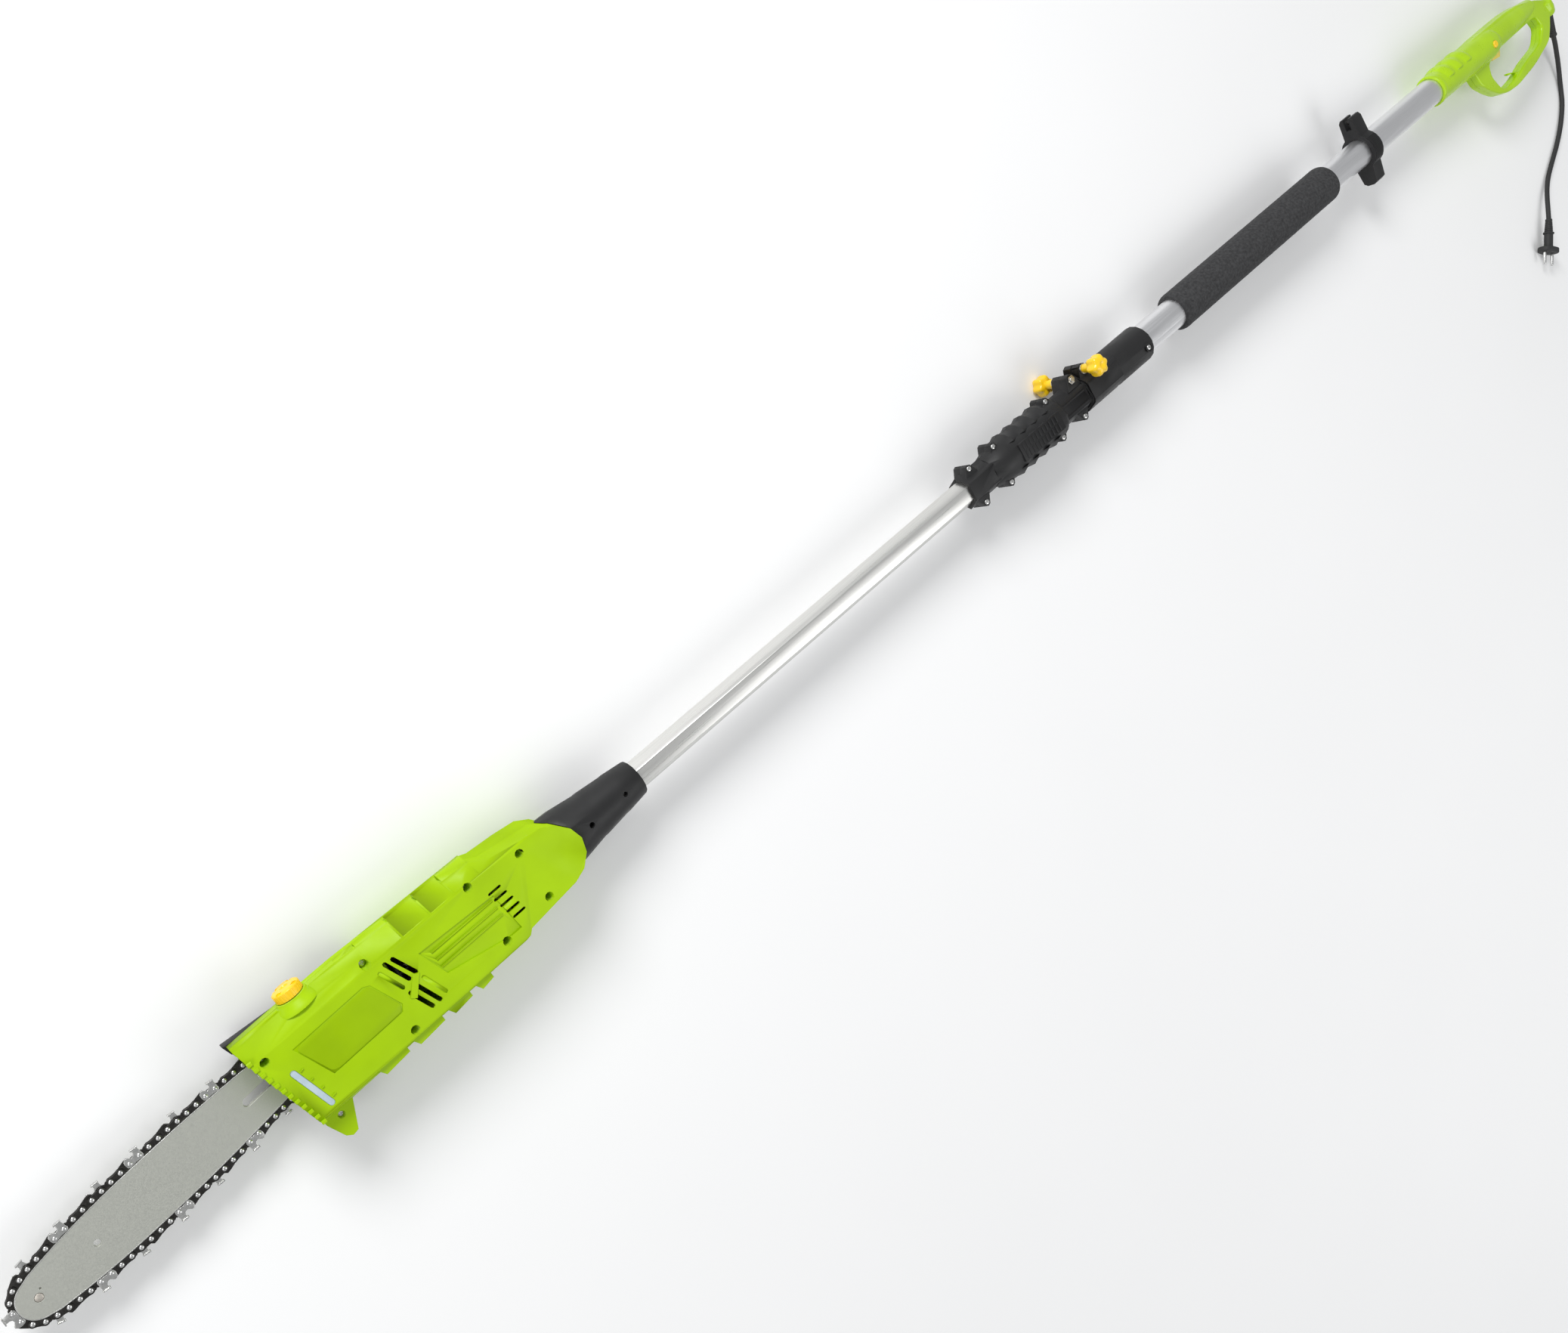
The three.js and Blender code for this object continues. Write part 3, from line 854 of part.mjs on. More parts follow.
// Flat outline across the plug axis, drawn along it between two distances.
function plugSlab(points, from, to) {
  const body = new THREE.ExtrudeGeometry(outline(points), { depth: to - from, bevelEnabled: false });
  return solid(body.translate(0, 0, from).applyMatrix4(plugFrame));
}
const oval = (wide, high) => slotOutline([-(wide - high) / 2, 0], [(wide - high) / 2, 0], high, 8);
const plugBody = join(
  turnAlong([[0, 0], [5, 0], [6.4, 21], [0, 21]], PLUG_AT, PLUG_DIR, 16),
  plugSlab(oval(17, 15), 20.3, 22.8),
  plugSlab(oval(14, 12), 22.1, 45),
  plugSlab(oval(FACE_WIDE, FACE_HIGH), 44.2, 52));
const pinPlace = (side) => PLUG_AT.clone().addScaledVector(PLUG_DIR, 52.3)
  .addScaledVector(new THREE.Vector3(PLUG_DIR.y, -PLUG_DIR.x, 0), side * 9.5);
const pinProfile = [[0, 0], [2.4, 0], [2.4, 17], [1.6, 19], [0, 19]];
put('plug_body', plugBody, RUBBER);
put('plug_pin_1', turnAlong(pinProfile, pinPlace(1), PLUG_DIR, 10), STEEL);
put('plug_pin_2', turnAlong(pinProfile, pinPlace(-1), PLUG_DIR, 10), STEEL);

// ---- frame: origin under the middle of the saw, on the surface it lies on ----------------------
const bounds = new THREE.Box3();
const CORD_NODES = ['power_cord', 'plug_body', 'plug_pin_1', 'plug_pin_2'];
for (const mesh of whole.children) {
  if (!CORD_NODES.includes(mesh.name)) bounds.expandByObject(mesh);
}
const middle = bounds.getCenter(new THREE.Vector3());
whole.position.set(-middle.x, -middle.y, -bounds.min.z);

const group = new THREE.Group();
group.add(whole);
export default group;
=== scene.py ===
"""A telescoping pole saw lying on its side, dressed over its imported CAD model."""
import math

import bmesh
import bpy
from mathutils import Matrix, Vector


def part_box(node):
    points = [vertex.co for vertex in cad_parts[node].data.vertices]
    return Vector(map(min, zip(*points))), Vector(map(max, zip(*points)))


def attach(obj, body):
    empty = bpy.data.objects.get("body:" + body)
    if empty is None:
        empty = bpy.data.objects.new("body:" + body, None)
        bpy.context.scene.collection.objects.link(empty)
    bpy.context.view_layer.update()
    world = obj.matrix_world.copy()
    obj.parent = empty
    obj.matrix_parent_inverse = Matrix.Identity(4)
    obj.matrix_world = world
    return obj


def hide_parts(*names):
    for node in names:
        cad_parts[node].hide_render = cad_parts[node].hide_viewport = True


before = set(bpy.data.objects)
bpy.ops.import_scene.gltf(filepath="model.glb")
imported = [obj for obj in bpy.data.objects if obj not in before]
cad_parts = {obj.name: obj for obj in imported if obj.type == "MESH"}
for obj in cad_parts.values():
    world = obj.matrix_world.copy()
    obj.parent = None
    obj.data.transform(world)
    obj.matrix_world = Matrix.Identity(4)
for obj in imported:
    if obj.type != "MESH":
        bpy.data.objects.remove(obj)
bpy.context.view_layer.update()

# ---- places: millimetres along the pole (X from the saw to the handle), pole axis at Y = Z = 0 ----
MM = 0.001
OUTER_FRONT = 560
outer_low, outer_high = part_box("outer_pole")
outer_middle = (outer_low + outer_high) / 2
AXIS = Vector((outer_low.x - OUTER_FRONT * MM, outer_middle.y, outer_middle.z))
TO_FRAME = Matrix.Translation(AXIS) @ Matrix.Scale(MM, 4)
TO_POLE = TO_FRAME.inverted()


def place(x, y, z):
    return TO_FRAME @ Vector((x, y, z))


def pole_box(node):
    """A CAD node's box in pole millimetres."""
    low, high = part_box(node)
    return TO_POLE @ low, TO_POLE @ high


# ---- camera and floor ---------------------------------------------------------------------------
def make_camera():
    data = bpy.data.cameras.new("camera")
    data.sensor_width = 36
    data.lens = 34.7
    data.clip_start = 0.05
    camera = bpy.data.objects.new("camera", data)
    bpy.context.scene.collection.objects.link(camera)
    right = Vector((0.68499, -0.50129, 0.52867)).normalized()
    up = Vector((0.59408, 0.80438, -0.00703)).normalized()
    back = right.cross(up).normalized()
    up = back.cross(right)
    turn = Matrix((right, up, back)).transposed().to_4x4()
    camera.matrix_world = Matrix.Translation(place(-662.83, 487.39, 1339.09)) @ turn
    bpy.context.scene.camera = camera


def add_object(name, data):
    obj = bpy.data.objects.new(name, data)
    bpy.context.scene.collection.objects.link(obj)
    return obj


def area_light(name, where, aim, size, power):
    data = bpy.data.lights.new(name, "AREA")
    data.shape = "DISK"
    data.size = size
    data.energy = power
    lamp = add_object(name, data)
    lamp.location = where
    lamp.rotation_euler = (Vector(aim) - Vector(where)).to_track_quat("-Z", "Y").to_euler()


def make_studio():
    bpy.context.scene.view_settings.view_transform = "Standard"
    world = bpy.data.worlds.new("studio")
    world.use_nodes = True
    world.node_tree.nodes["Background"].inputs["Color"].default_value = (0.97, 0.985, 1.0, 1)
    world.node_tree.nodes["Background"].inputs["Strength"].default_value = 0.42
    bpy.context.scene.world = world
    area_light("key_light", (-0.9, 2.7, 1.9), (-0.3, 0, 0), 1.4, 86)
    area_light("fill_light", (0.9, -1.9, 2.4), (0.2, 0, 0), 2.2, 30)
    area_light("head_light", (-2.2, 0.1, 1.6), (-0.9, 0, 0), 0.9, 6)
    bpy.ops.mesh.primitive_plane_add(size=14)
    floor = bpy.context.object
    floor.name = "floor"
    floor.data.materials.append(floor_paint())


# ---- materials ----------------------------------------------------------------------------------
def add_node(tree, kind, inputs=None, **settings):
    made = tree.nodes.new("ShaderNode" + kind)
    for key, value in settings.items():
        setattr(made, key, value)
    for key, value in (inputs or {}).items():
        made.inputs[key].default_value = value
    return made


def new_material(name, colour, rough, metal=0.0, coat=0.0):
    made = bpy.data.materials.new(name)
    made.use_nodes = True
    shader = made.node_tree.nodes["Principled BSDF"]
    shader.inputs["Base Color"].default_value = (*colour, 1)
    shader.inputs["Roughness"].default_value = rough
    shader.inputs["Metallic"].default_value = metal
    shader.inputs["Coat Weight"].default_value = coat
    shader.inputs["Coat Roughness"].default_value = 0.25
    return made, made.node_tree, shader


def noise(tree, scale, detail=3.0, stretch=(1, 1, 1)):
    """Noise in object space; scale is in cells per metre."""
    where = add_node(tree, "TexCoord")
    mapping = add_node(tree, "Mapping", {"Scale": stretch})
    made = add_node(tree, "TexNoise", {"Scale": scale, "Detail": detail})
    tree.links.new(where.outputs["Object"], mapping.inputs["Vector"])
    tree.links.new(mapping.outputs["Vector"], made.inputs["Vector"])
    return made.outputs["Fac"]


def spread(tree, value, low, high):
    made = add_node(tree, "MapRange", {"From Min": 0.3, "From Max": 0.7, "To Min": low, "To Max": high})
    tree.links.new(value, made.inputs["Value"])
    return made.outputs["Result"]


def mix_colours(tree, factor, first, second):
    made = add_node(tree, "Mix", data_type="RGBA")
    made.inputs[6].default_value = (*first, 1)
    made.inputs[7].default_value = (*second, 1)
    tree.links.new(factor, made.inputs["Factor"])
    return made.outputs[2]


def bump(tree, shader, height, strength, distance, rounding=0.0):
    made = add_node(tree, "Bump", {"Strength": strength, "Distance": distance})
    tree.links.new(height, made.inputs["Height"])
    if rounding:
        edge = add_node(tree, "Bevel", {"Radius": rounding}, samples=4)
        tree.links.new(edge.outputs["Normal"], made.inputs["Normal"])
    tree.links.new(made.outputs["Normal"], shader.inputs["Normal"])


def tint(colour, factor):
    return tuple(min(1.0, part * factor) for part in colour)


def plastic(name, colour, rough, grain=900, relief=0.12, coat=0.0, rounding=0.0005, shine=0.5):
    """Moulded plastic: faint mottling, uneven gloss, a fine eroded texture and rubbed edges."""
    made, tree, shader = new_material(name, colour, rough, coat=coat)
    shader.inputs["Specular IOR Level"].default_value = shine
    mottle = spread(tree, noise(tree, 22, 4), 0.0, 1.0)
    tone = mix_colours(tree, mottle, tint(colour, 0.93), tint(colour, 1.06))
    tree.links.new(tone, shader.inputs["Base Color"])
    tree.links.new(spread(tree, noise(tree, 60, 4), rough - 0.06, rough + 0.07), shader.inputs["Roughness"])
    bump(tree, shader, noise(tree, grain, 2), relief, 0.0002, rounding)
    return made


def metal(name, colour, rough, stretch=(1, 1, 1), grain=600, relief=0.1, variation=0.12, rounding=0.0003):
    """Worked metal: streaks along the direction of the finish, in tone, gloss and relief."""
    made, tree, shader = new_material(name, colour, rough, metal=1.0)
    streak = noise(tree, grain, 4, stretch)
    dark, light = tint(colour, 1 - variation), tint(colour, 1 + variation / 2)
    tone = mix_colours(tree, spread(tree, streak, 0.0, 1.0), dark, light)
    tree.links.new(tone, shader.inputs["Base Color"])
    gloss = spread(tree, noise(tree, grain / 3, 3, stretch), rough - 0.08, rough + 0.08)
    tree.links.new(gloss, shader.inputs["Roughness"])
    bump(tree, shader, streak, relief, 0.0001, rounding)
    return made


def foam_material():
    made, tree, shader = new_material("foam_cells", (0.03, 0.03, 0.031), 0.9)
    where = add_node(tree, "TexCoord")
    cells = add_node(tree, "TexVoronoi", {"Scale": 750})
    tree.links.new(where.outputs["Object"], cells.inputs["Vector"])
    mottle = spread(tree, noise(tree, 300, 4), 0, 1)
    tone = mix_colours(tree, mottle, (0.018, 0.018, 0.019), (0.05, 0.05, 0.052))
    tree.links.new(tone, shader.inputs["Base Color"])
    bump(tree, shader, cells.outputs["Distance"], 0.55, 0.0004)
    return made


def floor_paint():
    made, tree, shader = new_material("studio_floor", (0.93, 0.93, 0.93), 0.8)
    mottle = spread(tree, noise(tree, 3, 2), 0, 1)
    tone = mix_colours(tree, mottle, (0.925, 0.925, 0.925), (0.935, 0.935, 0.935))
    tree.links.new(tone, shader.inputs["Base Color"])
    return made


def tank_material():
    made, tree, shader = new_material("tank_polyethylene", (0.50, 0.60, 0.68), 0.35)
    tone = mix_colours(tree, spread(tree, noise(tree, 40, 3), 0, 1), (0.42, 0.52, 0.60), (0.55, 0.65, 0.72))
    tree.links.new(tone, shader.inputs["Base Color"])
    shader.inputs["Subsurface Weight"].default_value = 0.3
    shader.inputs["Subsurface Radius"].default_value = (0.004, 0.004, 0.004)
    return made


GREEN = (0.36, 0.58, 0.0)
PAINT = {
    "green": plastic("green_plastic", GREEN, 0.45, grain=1300, relief=0.08, shine=0.2),
    "label": plastic("green_label_panel", tint(GREEN, 0.84), 0.4, grain=300, relief=0.02, shine=0.15),
    # The handle's green is the head's green lightened by 1.15, a lighter copy that stands in as painted
    # highlight; its lower roughness and its coat are the real gloss.
    "handle_green": plastic("green_gloss_plastic_painted_highlight", tint(GREEN, 1.15), 0.3, grain=500, relief=0.02,
                            coat=0.15, rounding=0.0),
    "black": plastic("black_plastic", (0.014, 0.014, 0.0145), 0.5, grain=1500, relief=0.35, shine=0.35),
    "yellow": plastic("yellow_plastic", (1.0, 0.62, 0.006), 0.32, grain=500, relief=0.03, coat=0.3),
    "trigger": plastic("pale_yellow_plastic", (1.0, 0.78, 0.12), 0.34, grain=500, relief=0.03, coat=0.2),
    "rubber": plastic("black_rubber", (0.022, 0.022, 0.023), 0.62, grain=1200, relief=0.25),
    "foam": foam_material(),
    "tank": tank_material(),
    "pole": metal("satin_aluminium", (0.86, 0.86, 0.87), 0.38, stretch=(0.02, 1, 1), grain=1500,
                  relief=0.03, variation=0.05),
    "inner": metal("drawn_aluminium", (0.74, 0.735, 0.71), 0.34, stretch=(0.015, 1, 1), grain=1200,
                   relief=0.04, variation=0.06),
    "bar": metal("blasted_steel", (0.60, 0.61, 0.555), 0.5, grain=2500, relief=0.25, variation=0.08),
    "rail": metal("ground_steel", (0.62, 0.62, 0.60), 0.35, grain=2500, relief=0.1),
    "rivet": metal("peened_steel", (0.62, 0.58, 0.52), 0.5, grain=900, relief=0.1),
    "link": metal("oiled_steel", (0.055, 0.053, 0.05), 0.38, grain=900, relief=0.3, variation=0.3),
    "cutter": metal("chromed_steel", (0.66, 0.66, 0.64), 0.24, grain=900, relief=0.12),
    "zinc": metal("zinc_plate", (0.70, 0.70, 0.69), 0.28, grain=1200, relief=0.1),
    "gear": metal("machined_steel", (0.42, 0.41, 0.39), 0.34, grain=900, relief=0.2),
    "copper": metal("lacquered_copper", (0.62, 0.27, 0.11), 0.3, stretch=(0.1, 1, 1), grain=1500, relief=0.5),
}


# ---- mesh tools: everything is drawn in pole millimetres and moved to the frame at the end ---------
def mesh_of(bm, name="draft"):
    bmesh.ops.recalc_face_normals(bm, faces=bm.faces)
    mesh = bpy.data.meshes.new(name)
    bm.to_mesh(mesh)
    bm.free()
    return mesh


def lathe(profile, turn=Matrix.Identity(4), sides=64):
    """Turned piece about local Z; the profile is [radius, height] from one end on the axis to the other."""
    bm = bmesh.new()
    rings = []
    for radius, height in profile:
        if radius < 1e-6:
            rings.append([bm.verts.new((0, 0, height))])
            continue
        angles = [2 * math.pi * i / sides for i in range(sides)]
        rings.append([bm.verts.new((radius * math.cos(a), radius * math.sin(a), height)) for a in angles])
    for near, far in zip(rings, rings[1:]):
        for i in range(sides):
            j = (i + 1) % sides
            corners = [near[i % len(near)], near[j % len(near)], far[j % len(far)], far[i % len(far)]]
            face = list(dict.fromkeys(corners))
            if len(face) > 2:
                bm.faces.new(face)
    bmesh.ops.transform(bm, matrix=turn, verts=bm.verts)
    return mesh_of(bm)


def along_x(y=0.0, z=0.0):
    """Turns a lathe's local Z to X, so that its heights are places along the pole."""
    return Matrix.Translation((0, y, z)) @ Matrix.Rotation(math.pi / 2, 4, "Y")


def up_z(x, y):
    return Matrix.Translation((x, y, 0))


def towards(at, direction):
    return Matrix.Translation(at) @ Vector(direction).to_track_quat("Z", "Y").to_matrix().to_4x4()


def evaluated(obj):
    """The object's mesh with its modifiers or curve applied; the object itself goes away."""
    bpy.context.view_layer.update()
    mesh = bpy.data.meshes.new_from_object(obj.evaluated_get(bpy.context.evaluated_depsgraph_get()))
    bpy.data.objects.remove(obj)
    return mesh


def flat(outlines, low, high, edge=0.3, steps=2):
    """A plate from z low to z high with rounded edges; outlines after the first are holes."""
    curve = bpy.data.curves.new("draft", "CURVE")
    curve.dimensions = "2D"
    curve.fill_mode = "BOTH"
    for points in outlines:
        spline = curve.splines.new("POLY")
        spline.points.add(len(points) - 1)
        for point, (x, y) in zip(spline.points, points):
            point.co = (x, y, 0, 1)
        spline.use_cyclic_u = True
    curve.extrude = (high - low) / 2 - edge
    curve.bevel_depth = edge
    curve.offset = -edge
    curve.bevel_resolution = steps
    mesh = evaluated(add_object("draft", curve))
    bm = bmesh.new()
    bm.from_mesh(mesh)
    bmesh.ops.remove_doubles(bm, verts=bm.verts, dist=0.003)
    bmesh.ops.translate(bm, vec=(0, 0, (low + high) / 2), verts=bm.verts)
    return mesh_of(bm)


def block(low, high, edge=0.4):
    """A rounded block between two corners."""
    outline = [(low[0], low[1]), (high[0], low[1]), (high[0], high[1]), (low[0], high[1])]
    return flat([outline], low[2], high[2], edge)


def joined(meshes, turns=None):
    bm = bmesh.new()
    for i, mesh in enumerate(meshes):
        part = bmesh.new()
        part.from_mesh(mesh)
        if turns:
            bmesh.ops.transform(part, matrix=turns[i], verts=part.verts)
        copy = bpy.data.meshes.new("draft")
        part.to_mesh(copy)
        part.free()
        bm.from_mesh(copy)
        bpy.data.meshes.remove(copy)
    return mesh_of(bm)


def carved(mesh, cutters):
    """The mesh with closed cutters taken away."""
    obj = add_object("draft", mesh)
    tools = [add_object("tool", cutter) for cutter in cutters]
    for tool in tools:
        modifier = obj.modifiers.new("cut", "BOOLEAN")
        modifier.operation = "DIFFERENCE"
        modifier.solver = "EXACT"
        modifier.object = tool
    result = evaluated(obj)
    for tool in tools:
        bpy.data.objects.remove(tool)
    return result


def fused(meshes, voxel=1.0, rounds=5):
    """One moulding from overlapping closed meshes, with every edge and inner corner softened."""
    obj = add_object("draft", joined(meshes))
    remesh = obj.modifiers.new("remesh", "REMESH")
    remesh.mode = "VOXEL"
    remesh.voxel_size = voxel
    soften = obj.modifiers.new("soften", "SMOOTH")
    soften.factor = 0.5
    soften.iterations = rounds
    return evaluated(obj)


def half_of(mesh, side, gap=0.15):
    """The part of a mesh above (+1) or below (-1) the clamshell split, closed again."""
    bm = bmesh.new()
    bm.from_mesh(mesh)
    whole = bm.verts[:] + bm.edges[:] + bm.faces[:]
    made = bmesh.ops.bisect_plane(
        bm, geom=whole, plane_co=(0, 0, side * gap), plane_no=(0, 0, 1),
        clear_inner=side > 0, clear_outer=side < 0)
    rim = [item for item in made["geom_cut"] if isinstance(item, bmesh.types.BMEdge)]
    bmesh.ops.triangle_fill(bm, use_beauty=True, use_dissolve=False, edges=rim)
    return mesh_of(bm)


def piece(name, mesh, body, paint, replaces=(), sharp=40):
    """A finished piece of the saw: drawn in pole millimetres, shown in the frame."""
    mesh.transform(TO_FRAME)
    mesh.name = name
    for face in mesh.polygons:
        face.use_smooth = abs(face.normal.z) < 0.99999
    mesh.set_sharp_from_angle(angle=math.radians(sharp))
    mesh.materials.clear()
    mesh.materials.append(PAINT[paint])
    obj = add_object(name, mesh)
    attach(obj, body)
    if replaces:
        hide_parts(*replaces)
    return obj


def refined(node, body, paint, width=0.4, angle=33):
    """A CAD node's own shape with its coplanar facets merged and its edges rounded."""
    bm = bmesh.new()
    bm.from_mesh(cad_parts[node].data)
    bmesh.ops.transform(bm, matrix=TO_POLE, verts=bm.verts)
    bmesh.ops.remove_doubles(bm, verts=bm.verts, dist=0.004)
    bmesh.ops.dissolve_limit(bm, angle_limit=math.radians(0.8), verts=bm.verts, edges=bm.edges)
    mesh = mesh_of(bm)
    obj = add_object("draft", mesh)
    bevel = obj.modifiers.new("bevel", "BEVEL")
    bevel.width = width
    bevel.segments = 2
    bevel.limit_method = "ANGLE"
    bevel.angle_limit = math.radians(angle)
    bevel.use_clamp_overlap = True
    return piece(node + "_shell", evaluated(obj), body, paint, [node])


def arc(x, y, radius, start, end, steps=12):
    """Points on an arc, in degrees."""
    angles = [math.radians(start + (end - start) * i / steps) for i in range(steps + 1)]
    return [(x + radius * math.cos(a), y + radius * math.sin(a)) for a in angles]


def capsule(start, end, wide, steps=8):
    """Outline of a bar with round ends."""
    heading = math.degrees(math.atan2(end[1] - start[1], end[0] - start[0]))
    return (arc(*end, wide / 2, heading - 90, heading + 90, steps)
            + arc(*start, wide / 2, heading + 90, heading + 270, steps))


def screw_mesh(x, y, top, radius, high=2.2):
    """Pan head with a cross recess, facing up."""
    crown = [(0, top - high), (radius, top - high), (radius, top - high * 0.45),
             (radius * 0.82, top - high * 0.12), (radius * 0.5, top), (0, top)]
    wide, long = radius * 0.26, radius * 0.62
    bars = [block((x - long, y - wide / 2, top - high * 0.5), (x + long, y + wide / 2, top + 1), 0.05),
            block((x - wide / 2, y - long, top - high * 0.5), (x + wide / 2, y + long, top + 1), 0.05)]
    return carved(lathe(crown, up_z(x, y), 32), bars)


# ---- power cord ---------------------------------------------------------------------------------
RELIEF_AT = Vector((1684, -27, 0))
RELIEF_DIR = Vector((0.4, -0.86, -0.31)).normalized()
RELIEF_LONG = 45
CORD_THICK = 7
GAP = 0.3
CORD_ROUTE = [
    (1709, -80, -19.5), (1715, -95, -25.4), (1720, -111, -31.2), (1722.5, -127, -36.2),
    (1722, -142, -39.6), (1718, -157, -41), (1711, -171, -41), (1700, -185, -41), (1687, -198, -41),
    (1672, -210, -41), (1656, -221, -41), (1639, -231, -41), (1622, -241, -41), (1606, -251, -40.6),
    (1591, -262, -38.8), (1577, -274, -35.8), (1565, -287, -33.2),
]
PLUG_AT = Vector((1556, -299, -32))
PLUG_DIR = Vector((-0.6, -0.8, 0))
PIN_SIDE = Vector((PLUG_DIR.y, -PLUG_DIR.x, 0))
PIN_START = 52.3
PIN_SPACING = 19


def smooth_line(points, steps=6):
    """Centripetal Catmull-Rom line through the points."""
    line = []
    ends = [2 * points[0] - points[1], *points, 2 * points[-1] - points[-2]]
    for p0, p1, p2, p3 in zip(ends, ends[1:], ends[2:], ends[3:]):
        t1 = math.sqrt((p1 - p0).length)
        t2 = t1 + math.sqrt((p2 - p1).length)
        t3 = t2 + math.sqrt((p3 - p2).length)
        for i in range(steps):
            t = t1 + (t2 - t1) * i / steps
            a1 = p0 * ((t1 - t) / t1) + p1 * (t / t1)
            a2 = p1 * ((t2 - t) / (t2 - t1)) + p2 * ((t - t1) / (t2 - t1))
            a3 = p2 * ((t3 - t) / (t3 - t2)) + p3 * ((t - t2) / (t3 - t2))
            b1 = a1 * ((t2 - t) / t2) + a2 * (t / t2)
            b2 = a2 * ((t3 - t) / (t3 - t1)) + a3 * ((t - t1) / (t3 - t1))
            line.append(b1 * ((t2 - t) / (t2 - t1)) + b2 * ((t - t1) / (t2 - t1)))
    return [*line, points[-1]]


def make_relief():
    """Ribbed, tapered sleeve that keeps the cord from kinking at the handle."""
    profile = [(0, -6), (6.7, -6), (6.7, 2.6), (6.2, 3.4), (6.0, 5)]
    for i in range(9):
        at = 6 + i * 3.9
        radius = 6.1 - 0.14 * i
        profile += [(radius, at), (radius, at + 2.3), (radius - 0.7, at + 2.7), (radius - 0.7, at + 3.5)]
    profile += [(5.5, RELIEF_LONG - 2.6), (5.5, RELIEF_LONG - 0.5), (5.0, RELIEF_LONG), (0, RELIEF_LONG)]
    mesh = lathe(profile, towards(RELIEF_AT, RELIEF_DIR), 40)
    return piece("strain_relief_sleeve", mesh, "handle_pole", "rubber", ["strain_relief"])


def make_plug():
    turn = Matrix.Translation(PLUG_AT) @ Matrix((PIN_SIDE, (0, 0, 1), PLUG_DIR)).transposed().to_4x4()
    neck = [(0, 0), (4.8, 0)]
    for i in range(6):
        at = 1.4 + i * 3.1
        crest, root = 5.0 + 0.22 * i, 4.3 + 0.22 * i
        neck += [(crest, at), (crest, at + 1.9), (root, at + 2.3), (root, at + 2.9)]
    neck += [(6.3, 20.5), (6.3, 22), (0, 22)]

    def oval(wide, high, low, top, edge):
        reach = (wide - high) / 2
        return flat([capsule((-reach, 0), (reach, 0), high, 14)], low, top, edge)
    parts = [lathe(neck, sides=32), oval(17, 15, 20.4, 23, 0.8), oval(14, 12, 21, 47, 1.0),
             oval(36, 24, 44.3, 51.9, 1.6)]
    moulding = joined(parts, [turn] * len(parts))
    body = piece("plug_moulding", moulding, "handle_pole", "rubber", ["plug_body"])
    pins = []
    for i, side in enumerate((1, -1)):
        profile = [(0, 0), (2.4, 0), (2.4, 16.6), (2.1, 17.8), (1.4, 18.6), (0, 19)]
        at = PLUG_AT + PLUG_DIR * PIN_START + PIN_SIDE * (side * PIN_SPACING / 2)
        pin = lathe(profile, towards(at, PLUG_DIR), 24)
        pins.append(piece(f"plug_contact_{i + 1}", pin, "handle_pole", "zinc",
                          [f"plug_pin_{i + 1}"]))
    return [body, *pins]


def make_cord():
    start, end = RELIEF_AT + RELIEF_DIR * (RELIEF_LONG + GAP), PLUG_AT - PLUG_DIR * GAP
    points = [start, *map(Vector, CORD_ROUTE), end]
    line = [TO_FRAME @ point for point in smooth_line(points)]
    curve = bpy.data.curves.new("cord_cable", "CURVE")
    curve.dimensions = "3D"
    spline = curve.splines.new("POLY")
    spline.points.add(len(line) - 1)
    for point, where in zip(spline.points, line):
        point.co = (*where, 1)
    curve.bevel_depth = CORD_THICK * MM / 2
    curve.bevel_resolution = 6
    curve.use_fill_caps = True
    curve.materials.append(PAINT["rubber"])
    cord = add_object("cord_cable", curve)
    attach(cord, "handle_pole")
    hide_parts("power_cord")
    relief = make_relief()
    make_plug()


make_camera()
make_cord()


# ---- bar and chain ------------------------------------------------------------------------------
# Bar coordinates: u from the nose rivet towards the head, v across the bar.
PITCH = 9.525
RIVETS = 80
NOSE_TEETH = 7
DRIVE_TEETH = 6
RAIL_LIFT = 3.2
BAR_HALF = 27.6
BAR_THICK = 4.6
BELLY_U = 120
BAR_TAIL = 12
BAR_TURN = math.radians(3.1)
nose_low, nose_high = pole_box("nose_rivet")
drive_low, drive_high = pole_box("sprocket_shaft")
NOSE = (nose_low + nose_high) / 2
DRIVE = (drive_low + drive_high) / 2
DRIVE_U = math.hypot(DRIVE.x - NOSE.x, DRIVE.y - NOSE.y)
SLOT_TO = DRIVE_U - 29.5
SLOT_FROM = SLOT_TO - 78
BAR_FRAME = Matrix.Translation(NOSE) @ Matrix.Rotation(BAR_TURN, 4, "Z")
NOSE_R = PITCH / (2 * math.sin(math.pi / (2 * NOSE_TEETH)))
DRIVE_R = PITCH / (2 * math.sin(math.pi / (2 * DRIVE_TEETH)))


def chain_half(u):
    """Half width of the rivet line at u."""
    half = BAR_HALF + RAIL_LIFT
    if u < BELLY_U:
        return half - (half - NOSE_R - 1.6) * ((BELLY_U - u) / BELLY_U) ** 2.4
    return half - (half - DRIVE_R) * ((u - BELLY_U) / (DRIVE_U - BELLY_U)) ** 2


def chain_line(steps=60):
    """The closed line through the rivets, anticlockwise."""
    flank = [(5 + (DRIVE_U - 5) * i / steps, 0) for i in range(steps + 1)]
    flank = [(u, chain_half(u)) for u, _ in flank]
    nose = arc(0, 0, NOSE_R, math.degrees(1.75), 360 - math.degrees(1.75), 40)
    drive = arc(DRIVE_U, 0, DRIVE_R, -90 + 11.5, 90 - 11.5, 24)
    return [(u, -v) for u, v in flank] + drive + flank[::-1] + nose


